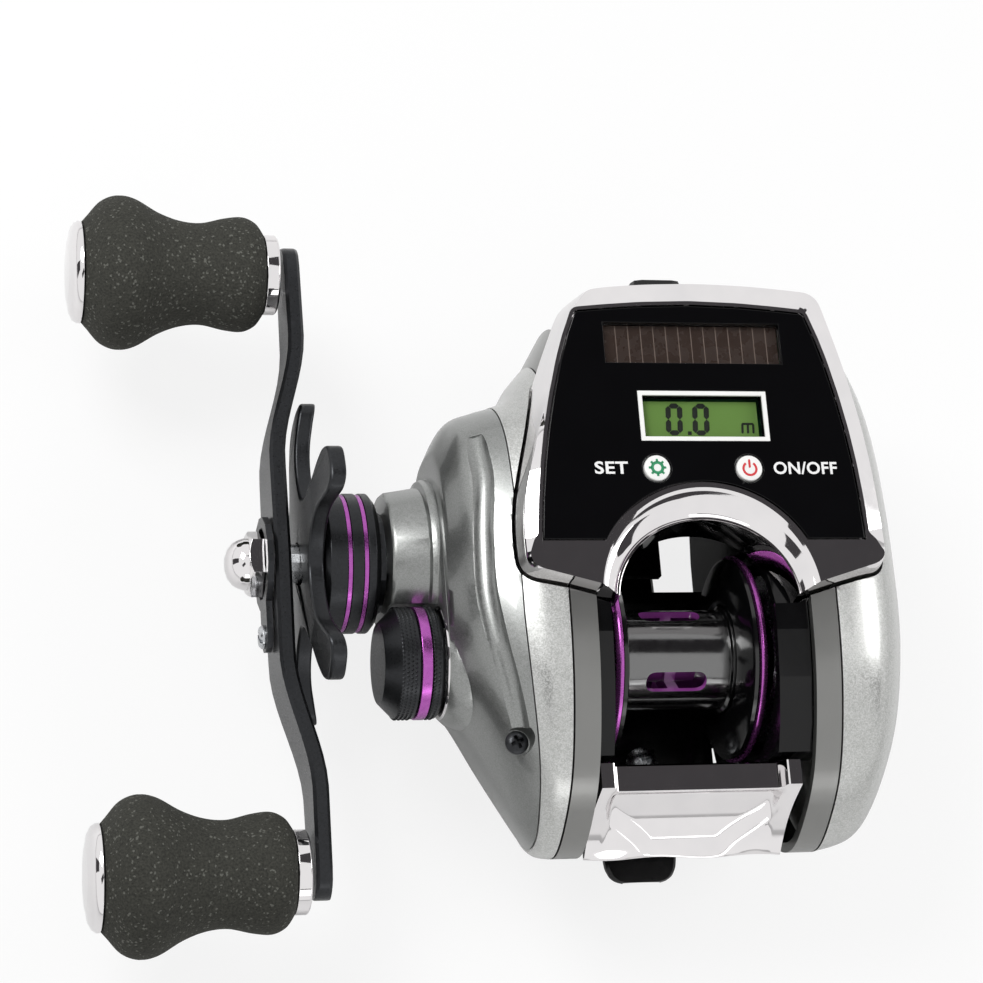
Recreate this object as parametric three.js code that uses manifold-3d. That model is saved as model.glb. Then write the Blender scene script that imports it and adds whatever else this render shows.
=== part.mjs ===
// A low-profile baitcasting reel with a solar-powered digital line counter, cranked from the left.
// Millimetres. X runs along the spool, with the crank on -X. Y points forward, to where the line leaves,
// and Z up. The origin is the middle of the reel foot's underside.
import * as THREE from "three";
import { mergeVertices } from "three/addons/utils/BufferGeometryUtils.js";
import Module from "manifold-3d";

const wasm = await Module();
wasm.setup();

// Clearances and the overrun of every cut.
const GAP = 0.3; // between pieces that seat in each other or lie face to face
const RUN = 0.5; // beside pieces that turn or slide
const OVERRUN = 1;
const ROUND = 14; // sides of a round piece
const SMALL = 10; // sides of a pin or a small screw
const FINE = 20; // sides of a large round piece

// The spool's axis and the size of the spool.
const SPOOL_Z = 25;
const SPOOL_WIDTH = 24.6;
const FLANGE_R = 16.2;
const RIM_R = 16.8;
const RIM_T = 1.1;
const DRUM_R = 11;
const DRUM_WALL = 1.2;
const DRUM_WIDTH = 16.4;
const HUB_R = 3.4;
const WEB_T = 1.8;
const SLOT_COUNT = 6;
const SLOT_LENGTH = 10;
const SLOT_WIDTH = 3.4;
const SPOOL_SHAFT_R = 1.6;

// The gear train. The drive shaft lies ahead of the spool's axis and below it.
const MODULE = 0.5;
const DRIVE_TEETH = 64;
const PINION_TEETH = 12;
const DRIVE_DROP = 5.4;
const BACKLASH = 0.14;
const GEAR_CENTRES = (MODULE * (DRIVE_TEETH + PINION_TEETH)) / 2;
const DRIVE_Y = Math.sqrt(GEAR_CENTRES ** 2 - DRIVE_DROP ** 2);
const DRIVE_Z = SPOOL_Z - DRIVE_DROP;
const DRIVE_GEAR_X = -22.4;
const DRIVE_GEAR_T = 3.4;
const DRIVE_SHAFT_R = 4;
const THREAD_R = 3.2;

// The level wind: a gear on the drive shaft turns the worm through an idler, and the line guide
// rides on the worm and on a rod above it.
const WIND_TEETH = 26;
const IDLER_TEETH = 24;
const WORM_TEETH = 18;
const WIND_GEAR_T = 1.4;
const WIND_GEAR_X = -17.8;
const IDLER_DROP = 1;
const WORM_DROP = 2.6;
const IDLER_CENTRES = (MODULE * (WIND_TEETH + IDLER_TEETH)) / 2;
const WORM_CENTRES = (MODULE * (IDLER_TEETH + WORM_TEETH)) / 2;
const IDLER_Y = DRIVE_Y + Math.sqrt(IDLER_CENTRES ** 2 - IDLER_DROP ** 2);
const IDLER_Z = DRIVE_Z - IDLER_DROP;
const WORM_Y = IDLER_Y + Math.sqrt(WORM_CENTRES ** 2 - WORM_DROP ** 2);
const WORM_Z = IDLER_Z - WORM_DROP;
const IDLER_PIN_R = 1.5;
const WORM_R = 2.6;
const WORM_JOURNAL_R = 1.5;
const WORM_GROOVE = 0.6;
const WORM_TURNS = 5;
const GUIDE_ROD_R = 1;
const GUIDE_ROD_RISE = 13;
const GUIDE_X = 4; // where the line guide stands at rest
const GUIDE_WIDTH = 9;
const GUIDE_WALL = 1.3;
const GUIDE_NOSE_Y = 65;
const EYE_R = 2.2;
const EYE_WALL = 0.9;

// The body: one side outline, which both side plates and the frame follow.
const BODY_REAR = -31.2;
const BODY_FRONT = 57;
const BODY_BOTTOM = 0.6;
const BODY_TOP = 45;
const SIDE_PROFILE_SHARES = [
  [0, 0.5], [0.035, 0.68], [0.11, 0.85], [0.23, 0.955], [0.36, 1], [0.52, 1], [0.7, 0.975],
  [0.86, 0.9], [0.965, 0.74], [1, 0.52], [0.975, 0.32], [0.87, 0.14], [0.7, 0.03], [0.5, 0],
  [0.3, 0.04], [0.14, 0.14], [0.03, 0.32],
];
const PROFILE_POINTS = 26;
const BLUNT_CORNER = THREE.MathUtils.degToRad(160); // corners blunter than this stay as they are

const WALL_LEFT = -15.6; // outer face of the frame's wall on the crank side
const WALL_LEFT_T = 2.3;
const WALL_RIGHT = 18.6; // outer face of the wall on the palm side
const WALL_RIGHT_T = 5.3;
const WALL_INSET = 1.2;
const RIM_LEFT_X = -20; // outer faces of the smooth rims
const RIM_RIGHT_X = 23;
const SHELL = 1.6;

// Outer shape of the side plates: how far out, and what is left there of the side outline's reach
// to the front, to the rear and in height.
const PLATE_LEFT_STATIONS_SHARES = [
  [0, 0.83, 1, 1], [0.16, 0.76, 0.985, 0.985], [0.28, 0.69, 0.92, 0.97], [0.58, 0.656, 0.71, 0.9],
  [0.82, 0.62, 0.53, 0.8], [1, 0.5, 0.44, 0.62],
];
const PLATE_RIGHT_STATIONS_SHARES = [
  [0, 1, 1, 1], [0.42, 0.965, 0.95, 0.965], [0.7, 0.84, 0.8, 0.84], [0.9, 0.63, 0.57, 0.62],
  [1, 0.38, 0.36, 0.38],
];
const PLATE_LEFT_CAVITY_SHARES = [
  [0, 0.82, 1, 1], [0.3, 0.66, 0.87, 0.95], [0.6, 0.63, 0.66, 0.88], [1, 0.46, 0.4, 0.55],
];
const PLATE_RIGHT_CAVITY_SHARES = [[0, 1, 1, 1], [0.66, 0.84, 0.8, 0.84], [1, 0.34, 0.32, 0.34]];
const RIM_LEFT_STATIONS_SHARES = [[0, 0.83, 1, 1], [1, 0.985, 1, 1]];
const RIM_RIGHT_STATIONS_SHARES = [[0, 1, 1, 1], [1, 1, 1, 1]];
const PLATE_LEFT_X = -37;
const PLATE_RIGHT_X = 38;
const PLATE_LEFT_CENTRE = [12, 21];
const PLATE_RIGHT_CENTRE = [10, 23];
const DRIVE_BOSS_X = -44.4;
const DRIVE_BOSS_R = 11.4;
const DRIVE_BOSS_ROOT_R = 13.5;

// The cover over the front, which holds the counter.
const HOOD_TOP = 48;
const HOOD_BOTTOM = 37.5;
const HOOD_FRONT_Y = 55;
const HOOD_CROWN = 1.4; // how far the front edge bows forward
const HOOD_REAR_Y = 9.5;
const HOOD_TIP_Y = 5;
const HOOD_LEFT = -25.6;
const HOOD_RIGHT = 31.4;
const HOOD_FRONT_LEFT = -16.6;
const HOOD_FRONT_RIGHT = 24.4;
const HOOD_SIDE_SHARES = [0.25, 0.5, 0.75];
const HOOD_BOW = 1.8; // how far each side bows outward
const HOOD_FLARE = 1.6;
const HOOD_WALL = 1.5;
const HOOD_TOP_T = 2.4;
const ARCH_X = 2.2;
const ARCH_Y = 4;
const ARCH_R = 14.5;
const ARCH_LIP = 3.7;
const ARCH_LIP_T = 3.4;
const LENS_T = 1.2;
const LENS_REAR_Y = 13.3;
const LENS_MARGIN = 2.2;
const LENS_SHIFT = [-1.2, -0.6]; // the window lies off the middle of the cover

// The counter under the lens: solar cell, display and two buttons.
const SOLAR = { x: 2.7, y: 45.9, w: 29.2, d: 6.8, t: 0.5 };
const DISPLAY = { x: 3.4, y: 33.6, w: 21, d: 8.2, t: 1.2, border: 0.8, lip: 0.3 };
const BUTTON = { left: -5.1, right: 10, y: 25.4, r: 2.1, flange: 0.5, rise: 0.3, travel: 0.4 };
const BOARD = { t: 1, drop: 3.4, margin: 4 };
const TRAY_T = 1;
const TRAY_DEPTH = 3;

// The reel foot and the frame's floor over it.
const FOOT_LENGTH = 63;
const FOOT_WIDTH = 12.8;
const FOOT_T = 2.6;
const FOOT_PAD = 18; // length of the flat pad at the middle
const FOOT_HOLLOW_R = 18; // the rod's roundness under each tongue
const FLOOR_Z = 4.8;
const FLOOR_REAR = -27;
const FLOOR_FRONT = 16.8;
const REAR_BAR_TOP = 17.5;
const DECK_T = 2;
const DECK_Z = 16.4;
const DECK_FRONT = 25;
const DECK_EDGE_X = 3.6;
const FOOT_SCREWS_Y = [-12.4, 10.4];
const FOOT_SCREW_X = 0.6;

// The crank, its star and the knobs.
const STAR_X = -55.4;
const STAR_T = 2.6;
const STAR_TIP_R = 27;
const STAR_ARMS = 5;
const STAR_BEND = 1.6;
const DRAG_KNOB_X = -46.1;
const DRAG_KNOB_R = 11.3;
const DRAG_LINE_T = 0.5;
const ARM_X = -59.9;
const ARM_T = 2.6;
const ARM_OFFSET = 4.3;
const ARM_HALF = 50; // from the shaft to each knob
const ARM_WIDTH = 14;
const ARM_END_WIDTH = 9;
const ARM_BEND_START = 16;
const ARM_BEND_END = 38;
const NUT_FLAT = 9.6;
const NUT_T = 3.4;
const DOME_R = 4.2;
const KNOB_R = 12.6;
const KNOB_GAP = 0.8;

// The cast control cap on the spool's axis, and the parts of the thumb bar.
const CAP_X = -37.6;
const CAP_LENGTH = 9.3;
const CAP_R = 9;
const THUMB_FRONT = -19.2;
const THUMB_TOP = 35;
const THUMB_REAR = -31.8;
const THUMB_LOW = 22.4;
const THUMB_TRAVEL = 4;
const THUMB_CHEEK = 1.7;

// Smaller sizes of the body and its cover.
const HOOD_CORNER = 2.5;
const HOOD_STATIONS_SHARES = [[0, 1], [0.55, 0.5], [0.9, 0.1], [1, -0.2]];
const LENS_LEDGE = 0.8;
const LENS_RIM = 0.6;
const TRAY_MARGIN = 1.6;
const TRAY_PEGS_SHARES = [[0.2, 0.75], [0.8, 0.75], [0.1, 0.3], [0.9, 0.3]];
const PEG_R = 1.2;
const REAR_BAR_FRONT = -20.5;
const NOSE_REAR = 30;
const NOSE_FLOOR_Z = 9;
const NOSE_LIP_Y = 51;
const NOSE_LIP_Z = 13;
const NOSE_ROOF_Y = 45;
const NOSE_ROOF_Z = 33;
const PINION_ROOM_R = 2.8;
const RIM_WALL = 1.6;
const BOSS_STEP = 2;
const PLATE_SCREW = { x: -28.1, y: -15.9, z: 35.6, r: 1.9, head: 1.2 };
const SEAT_DEPTH = 2.5; // what stands under a screw or cap seat in a side plate
const SEAT_WALL = 1.2;

// The brake housing, its magnets, the dial and the bearings.
const HOUSING_X = 14.4;
const HOUSING_LIP = 0.2; // what the housing, and the bore round it, have over the spool's rims
const HOUSING_R = RIM_R + HOUSING_LIP;
const HOUSING_SLIDE = 0.4;
const BORE_R = HOUSING_R + HOUSING_SLIDE; // the bore that the spool comes out of, on the palm side
const HOUSING_WEB = 1.4;
const HOUSING_BOSS_R = 6;
const RIB_T = 1.6;
const MAGNET = { t: 2, inner: 7.5, margin: 1.6, count: 8, notch: 0.8 };
const DIAL = { r: 7.4, depth: 2.8, stem: 2.2, grip: 1.2, bar: 5.6 };
const BEARING = { inner: SPOOL_SHAFT_R + GAP, outer: 4.2, w: 2.6 };
const SPIGOT_R = 6.6;
const SPIGOT_X = -44.5;
const SHAFT_END = -42.6;

// Teeth, drag and clutch.
const PRESSURE_ANGLE = THREE.MathUtils.degToRad(20);
const ADDENDUM_SHARE = 0.9;
const DEDENDUM_SHARE = 1.2;
const DRIVE_TIP_R = 2.4;
const DRAG = { r: 13, t: 1.2 };
const PRESSURE_T = 1.2;
const PRESSURE_R = 12.4;
const CLUTCH = { r: 6.6, w: 6 };
const SPACER = { r: 8.2, t: 0.9 };
const PINION = { x: -22.9, teeth: 4.7, hub: 6.2, r: 3.1, waist: 2.4 };
const YOKE_X = -25.6;
const YOKE_T = 0.8;
const YOKE_POST_R = 1;
const YOKE_POST_Y = -4.5;
const YOKE_POST_RISES = [-8, 8];
const YOKE_RIM = 2;

// Smaller sizes of the spool, the worm and the line guide.
const HUB_LENGTH = 9;
const FLANGE_T = 1;
const RIM_SEAT = 1.4;
const SLOT_PHASE = THREE.MathUtils.degToRad(5);
const WORM_SIDES = 8;
const WORM_STEPS_PER_TURN = 6;
const GROOVE_SHARE = 0.14;
const GUIDE_ROD_Z = WORM_Z + GUIDE_ROD_RISE;
const EYE_Z = (WORM_Z + WORM_R + GUIDE_ROD_Z - GUIDE_ROD_R) / 2;
const EYE_DEPTH = 2.6;
const NOSE_SHARES = [[0.1, 1, 0.95], [0.6, 1, 0.95], [0.94, 1, 0.97], [1, 0.93, 0.88]];
const NOSE_CORNER = 1.6;
const PAWL_R = 2.4;
const PAWL_T = 1.2;

// Smaller sizes of the crank, its star and the knobs.
const DRAG_LINES_X = [-48.6, -51.2];
const DRAG_LINE_DEPTH = 0.7;
const BARREL_BEVEL = 0.8;
const STAR_PHASE = THREE.MathUtils.degToRad(-1.5);
const STAR_BEND_SHARE = 0.55;
const STAR_ARM_SHARES = [
  [0.36, 0.2], [0.5, 0.145], [0.68, 0.12], [0.82, 0.145], [0.93, 0.16], [0.985, 0.1], [1, 0],
];
const ARM_END_SHARES = [0.5, 0.85, 0.98];
const ARM_BEVEL = 0.5;
const DOME_T = 5.2;
const DOME_SHARES = [[0, 1], [0.3, 1], [0.6, 0.88], [0.85, 0.6], [1, 0.25]];
const RETAINER = { ring: 7.6, reach: 14.6, w: 6, t: 1, screw: 1.1 };
const RETAINER_SCREW_Y = DRIVE_Y - RETAINER.reach + RETAINER.w / 2;
const KNOB_PIN_R = 2.2;
const RIVET_T = 1;
const COLLAR_R = 6.6;
const COLLAR_T = 2.2;
const GRIP_LENGTH = 29.4;
const CAP_T = 3;
const KNOB_CAP_R = 8.4;
const CAP_SHARES = [[0, 1], [0.35, 0.96], [0.7, 0.8], [1, 0.45]];
const KNOB_LENGTH = COLLAR_T + GRIP_LENGTH + CAP_T + 2 * GAP;
const KNOB_SHARES = [
  [0, 0.66], [0.03, 0.74], [0.1, 0.92], [0.19, 1], [0.29, 0.96], [0.42, 0.79], [0.54, 0.69],
  [0.66, 0.665], [0.79, 0.73], [0.89, 0.75], [0.96, 0.68], [1, 0.56],
];
const TENSION_BAND_X = -40.6;
const TENSION_BAND_T = 1.6;
const TENSION_BAND_DEPTH = 0.8;
const CAP_BEVEL = 0.6;
const CAP_CHAMFER = 2.6;
const CAP_FACE_T = 1.6;

// Smaller sizes of the foot and the thumb bar.
const FOOT_SCREW_R = 1.5;
const FOOT_SCREW_HEAD_R = 2.8;
const FOOT_SCREW_HEAD_T = 1.4;
const FOOT_TIP_T = 1.4;
const FOOT_PLAN_SHARES = [[0, 1], [0.6, 1], [0.87, 0.97], [0.96, 0.86], [1, 0.55]];
const THUMB_RIGHT = 17;
const THUMB_DISH = 1.6;
const THUMB_HORN = 2.5;
const THUMB_STATIONS_SHARES = [
  [0, 1, 0], [0.05, 1, 0], [0.12, 0.35, 0.3], [0.25, 0, 0.8], [0.5, 0, 1],
  [0.75, 0, 0.8], [0.88, 0.35, 0.3], [0.95, 1, 0], [1, 1, 0],
];
const THUMB_FACE_SHARES = [
  [0, 1, 0], [0, 0.08, 0], [0.04, 0, 0], [0.24, 0, 0], [0.34, 0.1, 0.4], [0.5, 0.34, 1],
  [0.66, 0.58, 1], [0.84, 0.8, 0.7], [0.97, 0.93, 0.2], [1, 0.98, 0], [0.98, 1, 0],
];
const THUMB_HOLLOW_SHARES = [[0.12, 1.1], [0.12, 0.2], [0.18, 0.2], [0.3, 0.5], [0.5, 0.78], [0.72, 1.1]];

// Closed meshes become solids, and solids become meshes again.
function solid(geometry) {
  geometry.deleteAttribute("normal");
  geometry.deleteAttribute("uv");
  const welded = mergeVertices(geometry, GAP / 1000);
  const place = welded.attributes.position.array;
  const corners = welded.index.array;
  const kept = [];
  let volume = 0;
  for (let i = 0; i < corners.length; i += 3) {
    const [a, b, c] = [corners[i], corners[i + 1], corners[i + 2]];
    if (a === b || b === c || c === a) continue;
    kept.push([a, b, c]);
    const [p, q, r] = [a, b, c].map((k) => new THREE.Vector3().fromArray(place, 3 * k));
    volume += p.dot(q.cross(r));
  }
  const facing = volume < 0 ? kept.map(([a, b, c]) => [a, c, b]) : kept;
  return new wasm.Manifold(new wasm.Mesh({
    numProp: 3,
    vertProperties: Float32Array.from(place),
    triVerts: Uint32Array.from(facing.flat()),
  }));
}

function join(...solids) {
  return solids.reduce((sum, next) => sum.add(next));
}

function cut(body, ...tools) {
  return tools.reduce((rest, tool) => rest.subtract(tool), body);
}

function toGeometry(body) {
  const { vertProperties, triVerts } = body.getMesh();
  const geometry = new THREE.BufferGeometry();
  geometry.setAttribute("position", new THREE.BufferAttribute(Float32Array.from(vertProperties), 3));
  geometry.setIndex([...triVerts]);
  return geometry;
}

function moved(body, matrix) {
  return solid(toGeometry(body).applyMatrix4(matrix));
}

// Moves each corner of a solid by a rule.
function reshaped(body, rule) {
  const geometry = toGeometry(body);
  const place = geometry.attributes.position;
  const point = new THREE.Vector3();
  for (let i = 0; i < place.count; i += 1) {
    rule(point.fromBufferAttribute(place, i));
    place.setXYZ(i, point.x, point.y, point.z);
  }
  return solid(geometry);
}

function piece(name, body, material) {
  const geometry = toGeometry(body);
  geometry.computeVertexNormals();
  const mesh = new THREE.Mesh(geometry, material);
  mesh.name = name;
  return mesh;
}

// Outlines are [a, b] pairs: [y, z] for what runs along X, and [x, y] for what stands up along Z.
function shapeOf(points) {
  return new THREE.Shape(points.map(([a, b]) => new THREE.Vector2(a, b)));
}

const ALONG_X = new THREE.Matrix4().makeBasis(
  new THREE.Vector3(0, 1, 0), new THREE.Vector3(0, 0, 1), new THREE.Vector3(1, 0, 0),
);
const LATHE_ALONG_X = new THREE.Matrix4().makeBasis(
  new THREE.Vector3(0, 0, 1), new THREE.Vector3(1, 0, 0), new THREE.Vector3(0, 1, 0),
);
const LATHE_ALONG_Y = new THREE.Matrix4();
const LATHE_ALONG_Z = new THREE.Matrix4().makeBasis(
  new THREE.Vector3(0, 1, 0), new THREE.Vector3(0, 0, 1), new THREE.Vector3(1, 0, 0),
);

function extrudeX(shape, x0, x1, curveSegments = ROUND / 2) {
  const geometry = new THREE.ExtrudeGeometry(shape, { depth: x1 - x0, bevelEnabled: false, curveSegments });
  return solid(geometry.applyMatrix4(ALONG_X).translate(x0, 0, 0));
}

function extrudeZ(shape, z0, z1, curveSegments = ROUND / 2) {
  const geometry = new THREE.ExtrudeGeometry(shape, { depth: z1 - z0, bevelEnabled: false, curveSegments });
  return solid(geometry.translate(0, 0, z0));
}

// A turned solid: [place along the axis, radius] pairs, round the axis through the given point.
function turned(profile, matrix, centre, sides, closed) {
  const points = profile.map(([along, radius]) => new THREE.Vector2(radius, along));
  if (closed) points.push(points[0].clone());
  const geometry = new THREE.LatheGeometry(points, sides);
  return solid(geometry.applyMatrix4(matrix).translate(...centre));
}

function turnedX(profile, y, z, sides = ROUND) {
  return turned([[profile[0][0], 0], ...profile, [profile.at(-1)[0], 0]], LATHE_ALONG_X, [0, y, z], sides);
}

function ringX(profile, y, z, sides = ROUND) {
  return turned(profile, LATHE_ALONG_X, [0, y, z], sides, true);
}

function rodX(x0, x1, r, y, z, sides = ROUND) {
  return turnedX([[x0, r], [x1, r]], y, z, sides);
}

function tubeX(x0, x1, inner, outer, y, z, sides = ROUND) {
  return ringX([[x0, inner], [x0, outer], [x1, outer], [x1, inner]], y, z, sides);
}

function rodY(y0, y1, r, x, z, sides = ROUND) {
  return turned([[y0, 0], [y0, r], [y1, r], [y1, 0]], LATHE_ALONG_Y, [x, 0, z], sides);
}

function turnedZ(profile, x, y, sides = ROUND) {
  return turned([[profile[0][0], 0], ...profile, [profile.at(-1)[0], 0]], LATHE_ALONG_Z, [x, y, 0], sides);
}

function rodZ(z0, z1, r, x, y, sides = ROUND) {
  return turnedZ([[z0, r], [z1, r]], x, y, sides);
}

function box(x0, x1, y0, y1, z0, z1) {
  const geometry = new THREE.BoxGeometry(x1 - x0, y1 - y0, z1 - z0);
  return solid(geometry.translate((x0 + x1) / 2, (y0 + y1) / 2, (z0 + z1) / 2));
}

// A skin over rings of equally many points, closed by a fan at each end.
function loft(rings) {
  const count = rings[0].length;
  const ends = [rings[0], rings.at(-1)].map((ring) =>
    ring.reduce((sum, p) => sum.add(p), new THREE.Vector3()).divideScalar(count));
  const points = [...rings.flat(), ...ends];
  const first = rings.length * count;
  const faces = [];
  for (let k = 0; k < count; k += 1) {
    const next = (k + 1) % count;
    for (let i = 0; i < rings.length - 1; i += 1) {
      const [a, b, c, d] = [i * count + k, i * count + next, (i + 1) * count + next, (i + 1) * count + k];
      faces.push([a, b, c], [a, c, d]);
    }
    faces.push([first, next, k], [first + 1, first - count + k, first - count + next]);
  }
  const geometry = new THREE.BufferGeometry().setFromPoints(points);
  geometry.setIndex(faces.flat());
  return solid(geometry);
}

// Moves every side of an outline outward by the given distance.
function offset(points, distance) {
  const area = THREE.ShapeUtils.area(points.map(([x, y]) => new THREE.Vector2(x, y)));
  const side = Math.sign(area) * distance;
  const normal = ([ax, ay], [bx, by]) => new THREE.Vector2(by - ay, ax - bx).normalize();
  return points.map((p, i) => {
    const one = normal(points.at(i - 1), p);
    const two = normal(p, points[(i + 1) % points.length]);
    const reach = side / (1 + one.dot(two));
    return [p[0] + reach * (one.x + two.x), p[1] + reach * (one.y + two.y)];
  });
}

// Rounds the sharp corners of an outline, each with a short curve.
function rounded(points, radius, steps = 3) {
  return points.flatMap((p, i) => {
    const corner = new THREE.Vector2(...p);
    const ways = [points.at(i - 1), points[(i + 1) % points.length]].map((other) =>
      new THREE.Vector2(...other).sub(corner));
    if (ways[0].angleTo(ways[1]) > BLUNT_CORNER) return [p];
    const [start, end] = ways.map((way) =>
      corner.clone().add(way.setLength(Math.min(radius, way.length() / 2))));
    const curve = new THREE.QuadraticBezierCurve(start, corner, end);
    return curve.getPoints(steps).map((q) => [q.x, q.y]);
  });
}

function rectangle(x0, x1, y0, y1) {
  return [[x0, y0], [x1, y0], [x1, y1], [x0, y1]];
}

function sideOutline(inset = 0) {
  const { lerp } = THREE.MathUtils;
  const corners = SIDE_PROFILE_SHARES.map(([u, v]) =>
    new THREE.Vector3(lerp(BODY_REAR, BODY_FRONT, u), lerp(BODY_BOTTOM, BODY_TOP, v), 0));
  const curve = new THREE.CatmullRomCurve3(corners, true);
  const points = curve.getPoints(PROFILE_POINTS).slice(0, -1).map((p) => [p.x, p.y]);
  return offset(points, -inset);
}

function sideSlab(inset, x0, x1) {
  return extrudeX(shapeOf(sideOutline(inset)), x0, x1);
}

// The domed skin of a side plate or a rim, between two places along X.
function plateSkin(inset, stationShares, x0, x1, [middle, mid]) {
  const edge = sideOutline(inset);
  return loft(stationShares.map(([along, front, rear, height]) => edge.map(([y, z]) => new THREE.Vector3(
    THREE.MathUtils.lerp(x0, x1, along),
    middle + (y - middle) * (y > middle ? front : rear),
    mid + (z - mid) * height,
  ))));
}

// The cover's outline from above, before the arch is cut out of its rear edge.
function hoodOutline(grow = 0) {
  const front = [0, 0.3, 0.7, 1].map((share) => [
    THREE.MathUtils.lerp(HOOD_FRONT_LEFT, HOOD_FRONT_RIGHT, share),
    HOOD_FRONT_Y + HOOD_CROWN * Math.sin(Math.PI * share),
  ]);
  const side = (frontX, rearX) => HOOD_SIDE_SHARES.map((share) => [
    THREE.MathUtils.lerp(frontX, rearX, share) + Math.sign(rearX) * HOOD_BOW * Math.sin(Math.PI * share),
    THREE.MathUtils.lerp(HOOD_FRONT_Y, HOOD_REAR_Y, share),
  ]);
  const right = side(HOOD_FRONT_RIGHT, HOOD_RIGHT);
  const left = side(HOOD_FRONT_LEFT, HOOD_LEFT).toReversed();
  const rear = [
    [HOOD_RIGHT, HOOD_REAR_Y], [ARCH_X + ARCH_R, HOOD_TIP_Y], [ARCH_X - ARCH_R, HOOD_TIP_Y],
    [HOOD_LEFT, HOOD_REAR_Y],
  ];
  const corners = offset([...front, ...right, ...rear, ...left], grow);
  return rounded(corners, Math.max(GAP, HOOD_CORNER + grow), 2);
}

function hoodSkin(grow, bottom, top) {
  return loft(HOOD_STATIONS_SHARES.map(([rise, flare]) =>
    hoodOutline(grow + HOOD_FLARE * flare).map(([x, y]) =>
      new THREE.Vector3(x, y, THREE.MathUtils.lerp(bottom, top, rise)))));
}

// The cone that opens the cover over the spool.
function archCone(grow) {
  return turnedZ([
    [HOOD_BOTTOM - OVERRUN, ARCH_R + grow],
    [HOOD_TOP - ARCH_LIP_T, ARCH_R + grow],
    [HOOD_TOP, ARCH_R + ARCH_LIP + grow],
    [HOOD_TOP + OVERRUN, ARCH_R + ARCH_LIP + OVERRUN + grow],
  ], ARCH_X, ARCH_Y, FINE);
}

const SPOOL_ROOM = rodX(-SPOOL_WIDTH / 2 - OVERRUN, SPOOL_WIDTH / 2 + OVERRUN, RIM_R + RUN, 0, SPOOL_Z, FINE);
const HOUSING_ROOM = rodX(0, RIM_RIGHT_X + GAP, HOUSING_R + GAP, 0, SPOOL_Z, FINE);
const HOOD_ROOM = hoodSkin(GAP, HOOD_BOTTOM - GAP, HOOD_TOP + OVERRUN);

function topHood() {
  const hollow = cut(
    hoodSkin(-HOOD_WALL, HOOD_BOTTOM - OVERRUN, HOOD_TOP - HOOD_TOP_T),
    archCone(HOOD_WALL),
  );
  const ledge = LENS_T + GAP;
  return cut(
    hoodSkin(0, HOOD_BOTTOM, HOOD_TOP),
    hollow,
    archCone(0),
    SPOOL_ROOM,
    HOUSING_ROOM,
    lensSlab(GAP, HOOD_TOP - ledge, HOOD_TOP + OVERRUN),
    lensSlab(-LENS_LEDGE, HOOD_TOP - HOOD_TOP_T - OVERRUN, HOOD_TOP),
  );
}

// What lies in the window of the cover follows the window's outline.
function lensSlab(grow, z0, z1) {
  const rear = LENS_REAR_Y - grow;
  return cut(
    extrudeZ(shapeOf(hoodOutline(grow - LENS_MARGIN)), z0, z1).translate(...LENS_SHIFT, 0),
    box(HOOD_LEFT - HOOD_FLARE, HOOD_RIGHT + HOOD_FLARE, -HOOD_REAR_Y, rear, z0 - OVERRUN, z1 + OVERRUN),
    rodZ(z0 - OVERRUN, z1 + OVERRUN, ARCH_R + ARCH_LIP + LENS_RIM - grow, ARCH_X, ARCH_Y, FINE),
  );
}

function displayLens() {
  const holes = [BUTTON.left, BUTTON.right].map((x) =>
    rodZ(HOOD_TOP - LENS_T - OVERRUN, HOOD_TOP + OVERRUN, BUTTON.r + GAP, x, BUTTON.y));
  return cut(lensSlab(0, HOOD_TOP - LENS_T, HOOD_TOP), ...holes);
}

const UNDER_LENS = HOOD_TOP - LENS_T - GAP;
const BOARD_TOP = UNDER_LENS - DISPLAY.t - BUTTON.flange - GAP - BUTTON.travel;
const TRAY_FLOOR = BOARD_TOP - BOARD.t - TRAY_DEPTH;

function slab({ x, y, w, d }, grow, z0, z1) {
  const outline = rectangle(x - w / 2 - grow, x + w / 2 + grow, y - d / 2 - grow, y + d / 2 + grow);
  return extrudeZ(shapeOf(outline), z0, z1);
}

function solarCell() {
  return slab(SOLAR, 0, UNDER_LENS - SOLAR.t, UNDER_LENS);
}

function displayFrame() {
  const bottom = UNDER_LENS - DISPLAY.t;
  return cut(
    slab(DISPLAY, 0, bottom, UNDER_LENS),
    slab(DISPLAY, -DISPLAY.border, bottom + DISPLAY.lip, UNDER_LENS + OVERRUN),
  );
}

function displayGlass() {
  const bottom = UNDER_LENS - DISPLAY.t + DISPLAY.lip + GAP;
  return slab(DISPLAY, -DISPLAY.border - GAP, bottom, UNDER_LENS - DISPLAY.lip);
}

function button(x) {
  const foot = UNDER_LENS - GAP - BUTTON.flange;
  return turnedZ([
    [foot, BUTTON.r + BUTTON.flange],
    [foot + BUTTON.flange, BUTTON.r + BUTTON.flange],
    [foot + BUTTON.flange, BUTTON.r],
    [HOOD_TOP, BUTTON.r],
    [HOOD_TOP + BUTTON.rise, BUTTON.r - BUTTON.rise],
  ], x, BUTTON.y);
}

function circuitBoard() {
  return lensSlab(-BOARD.margin, BOARD_TOP - BOARD.t, BOARD_TOP);
}

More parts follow.
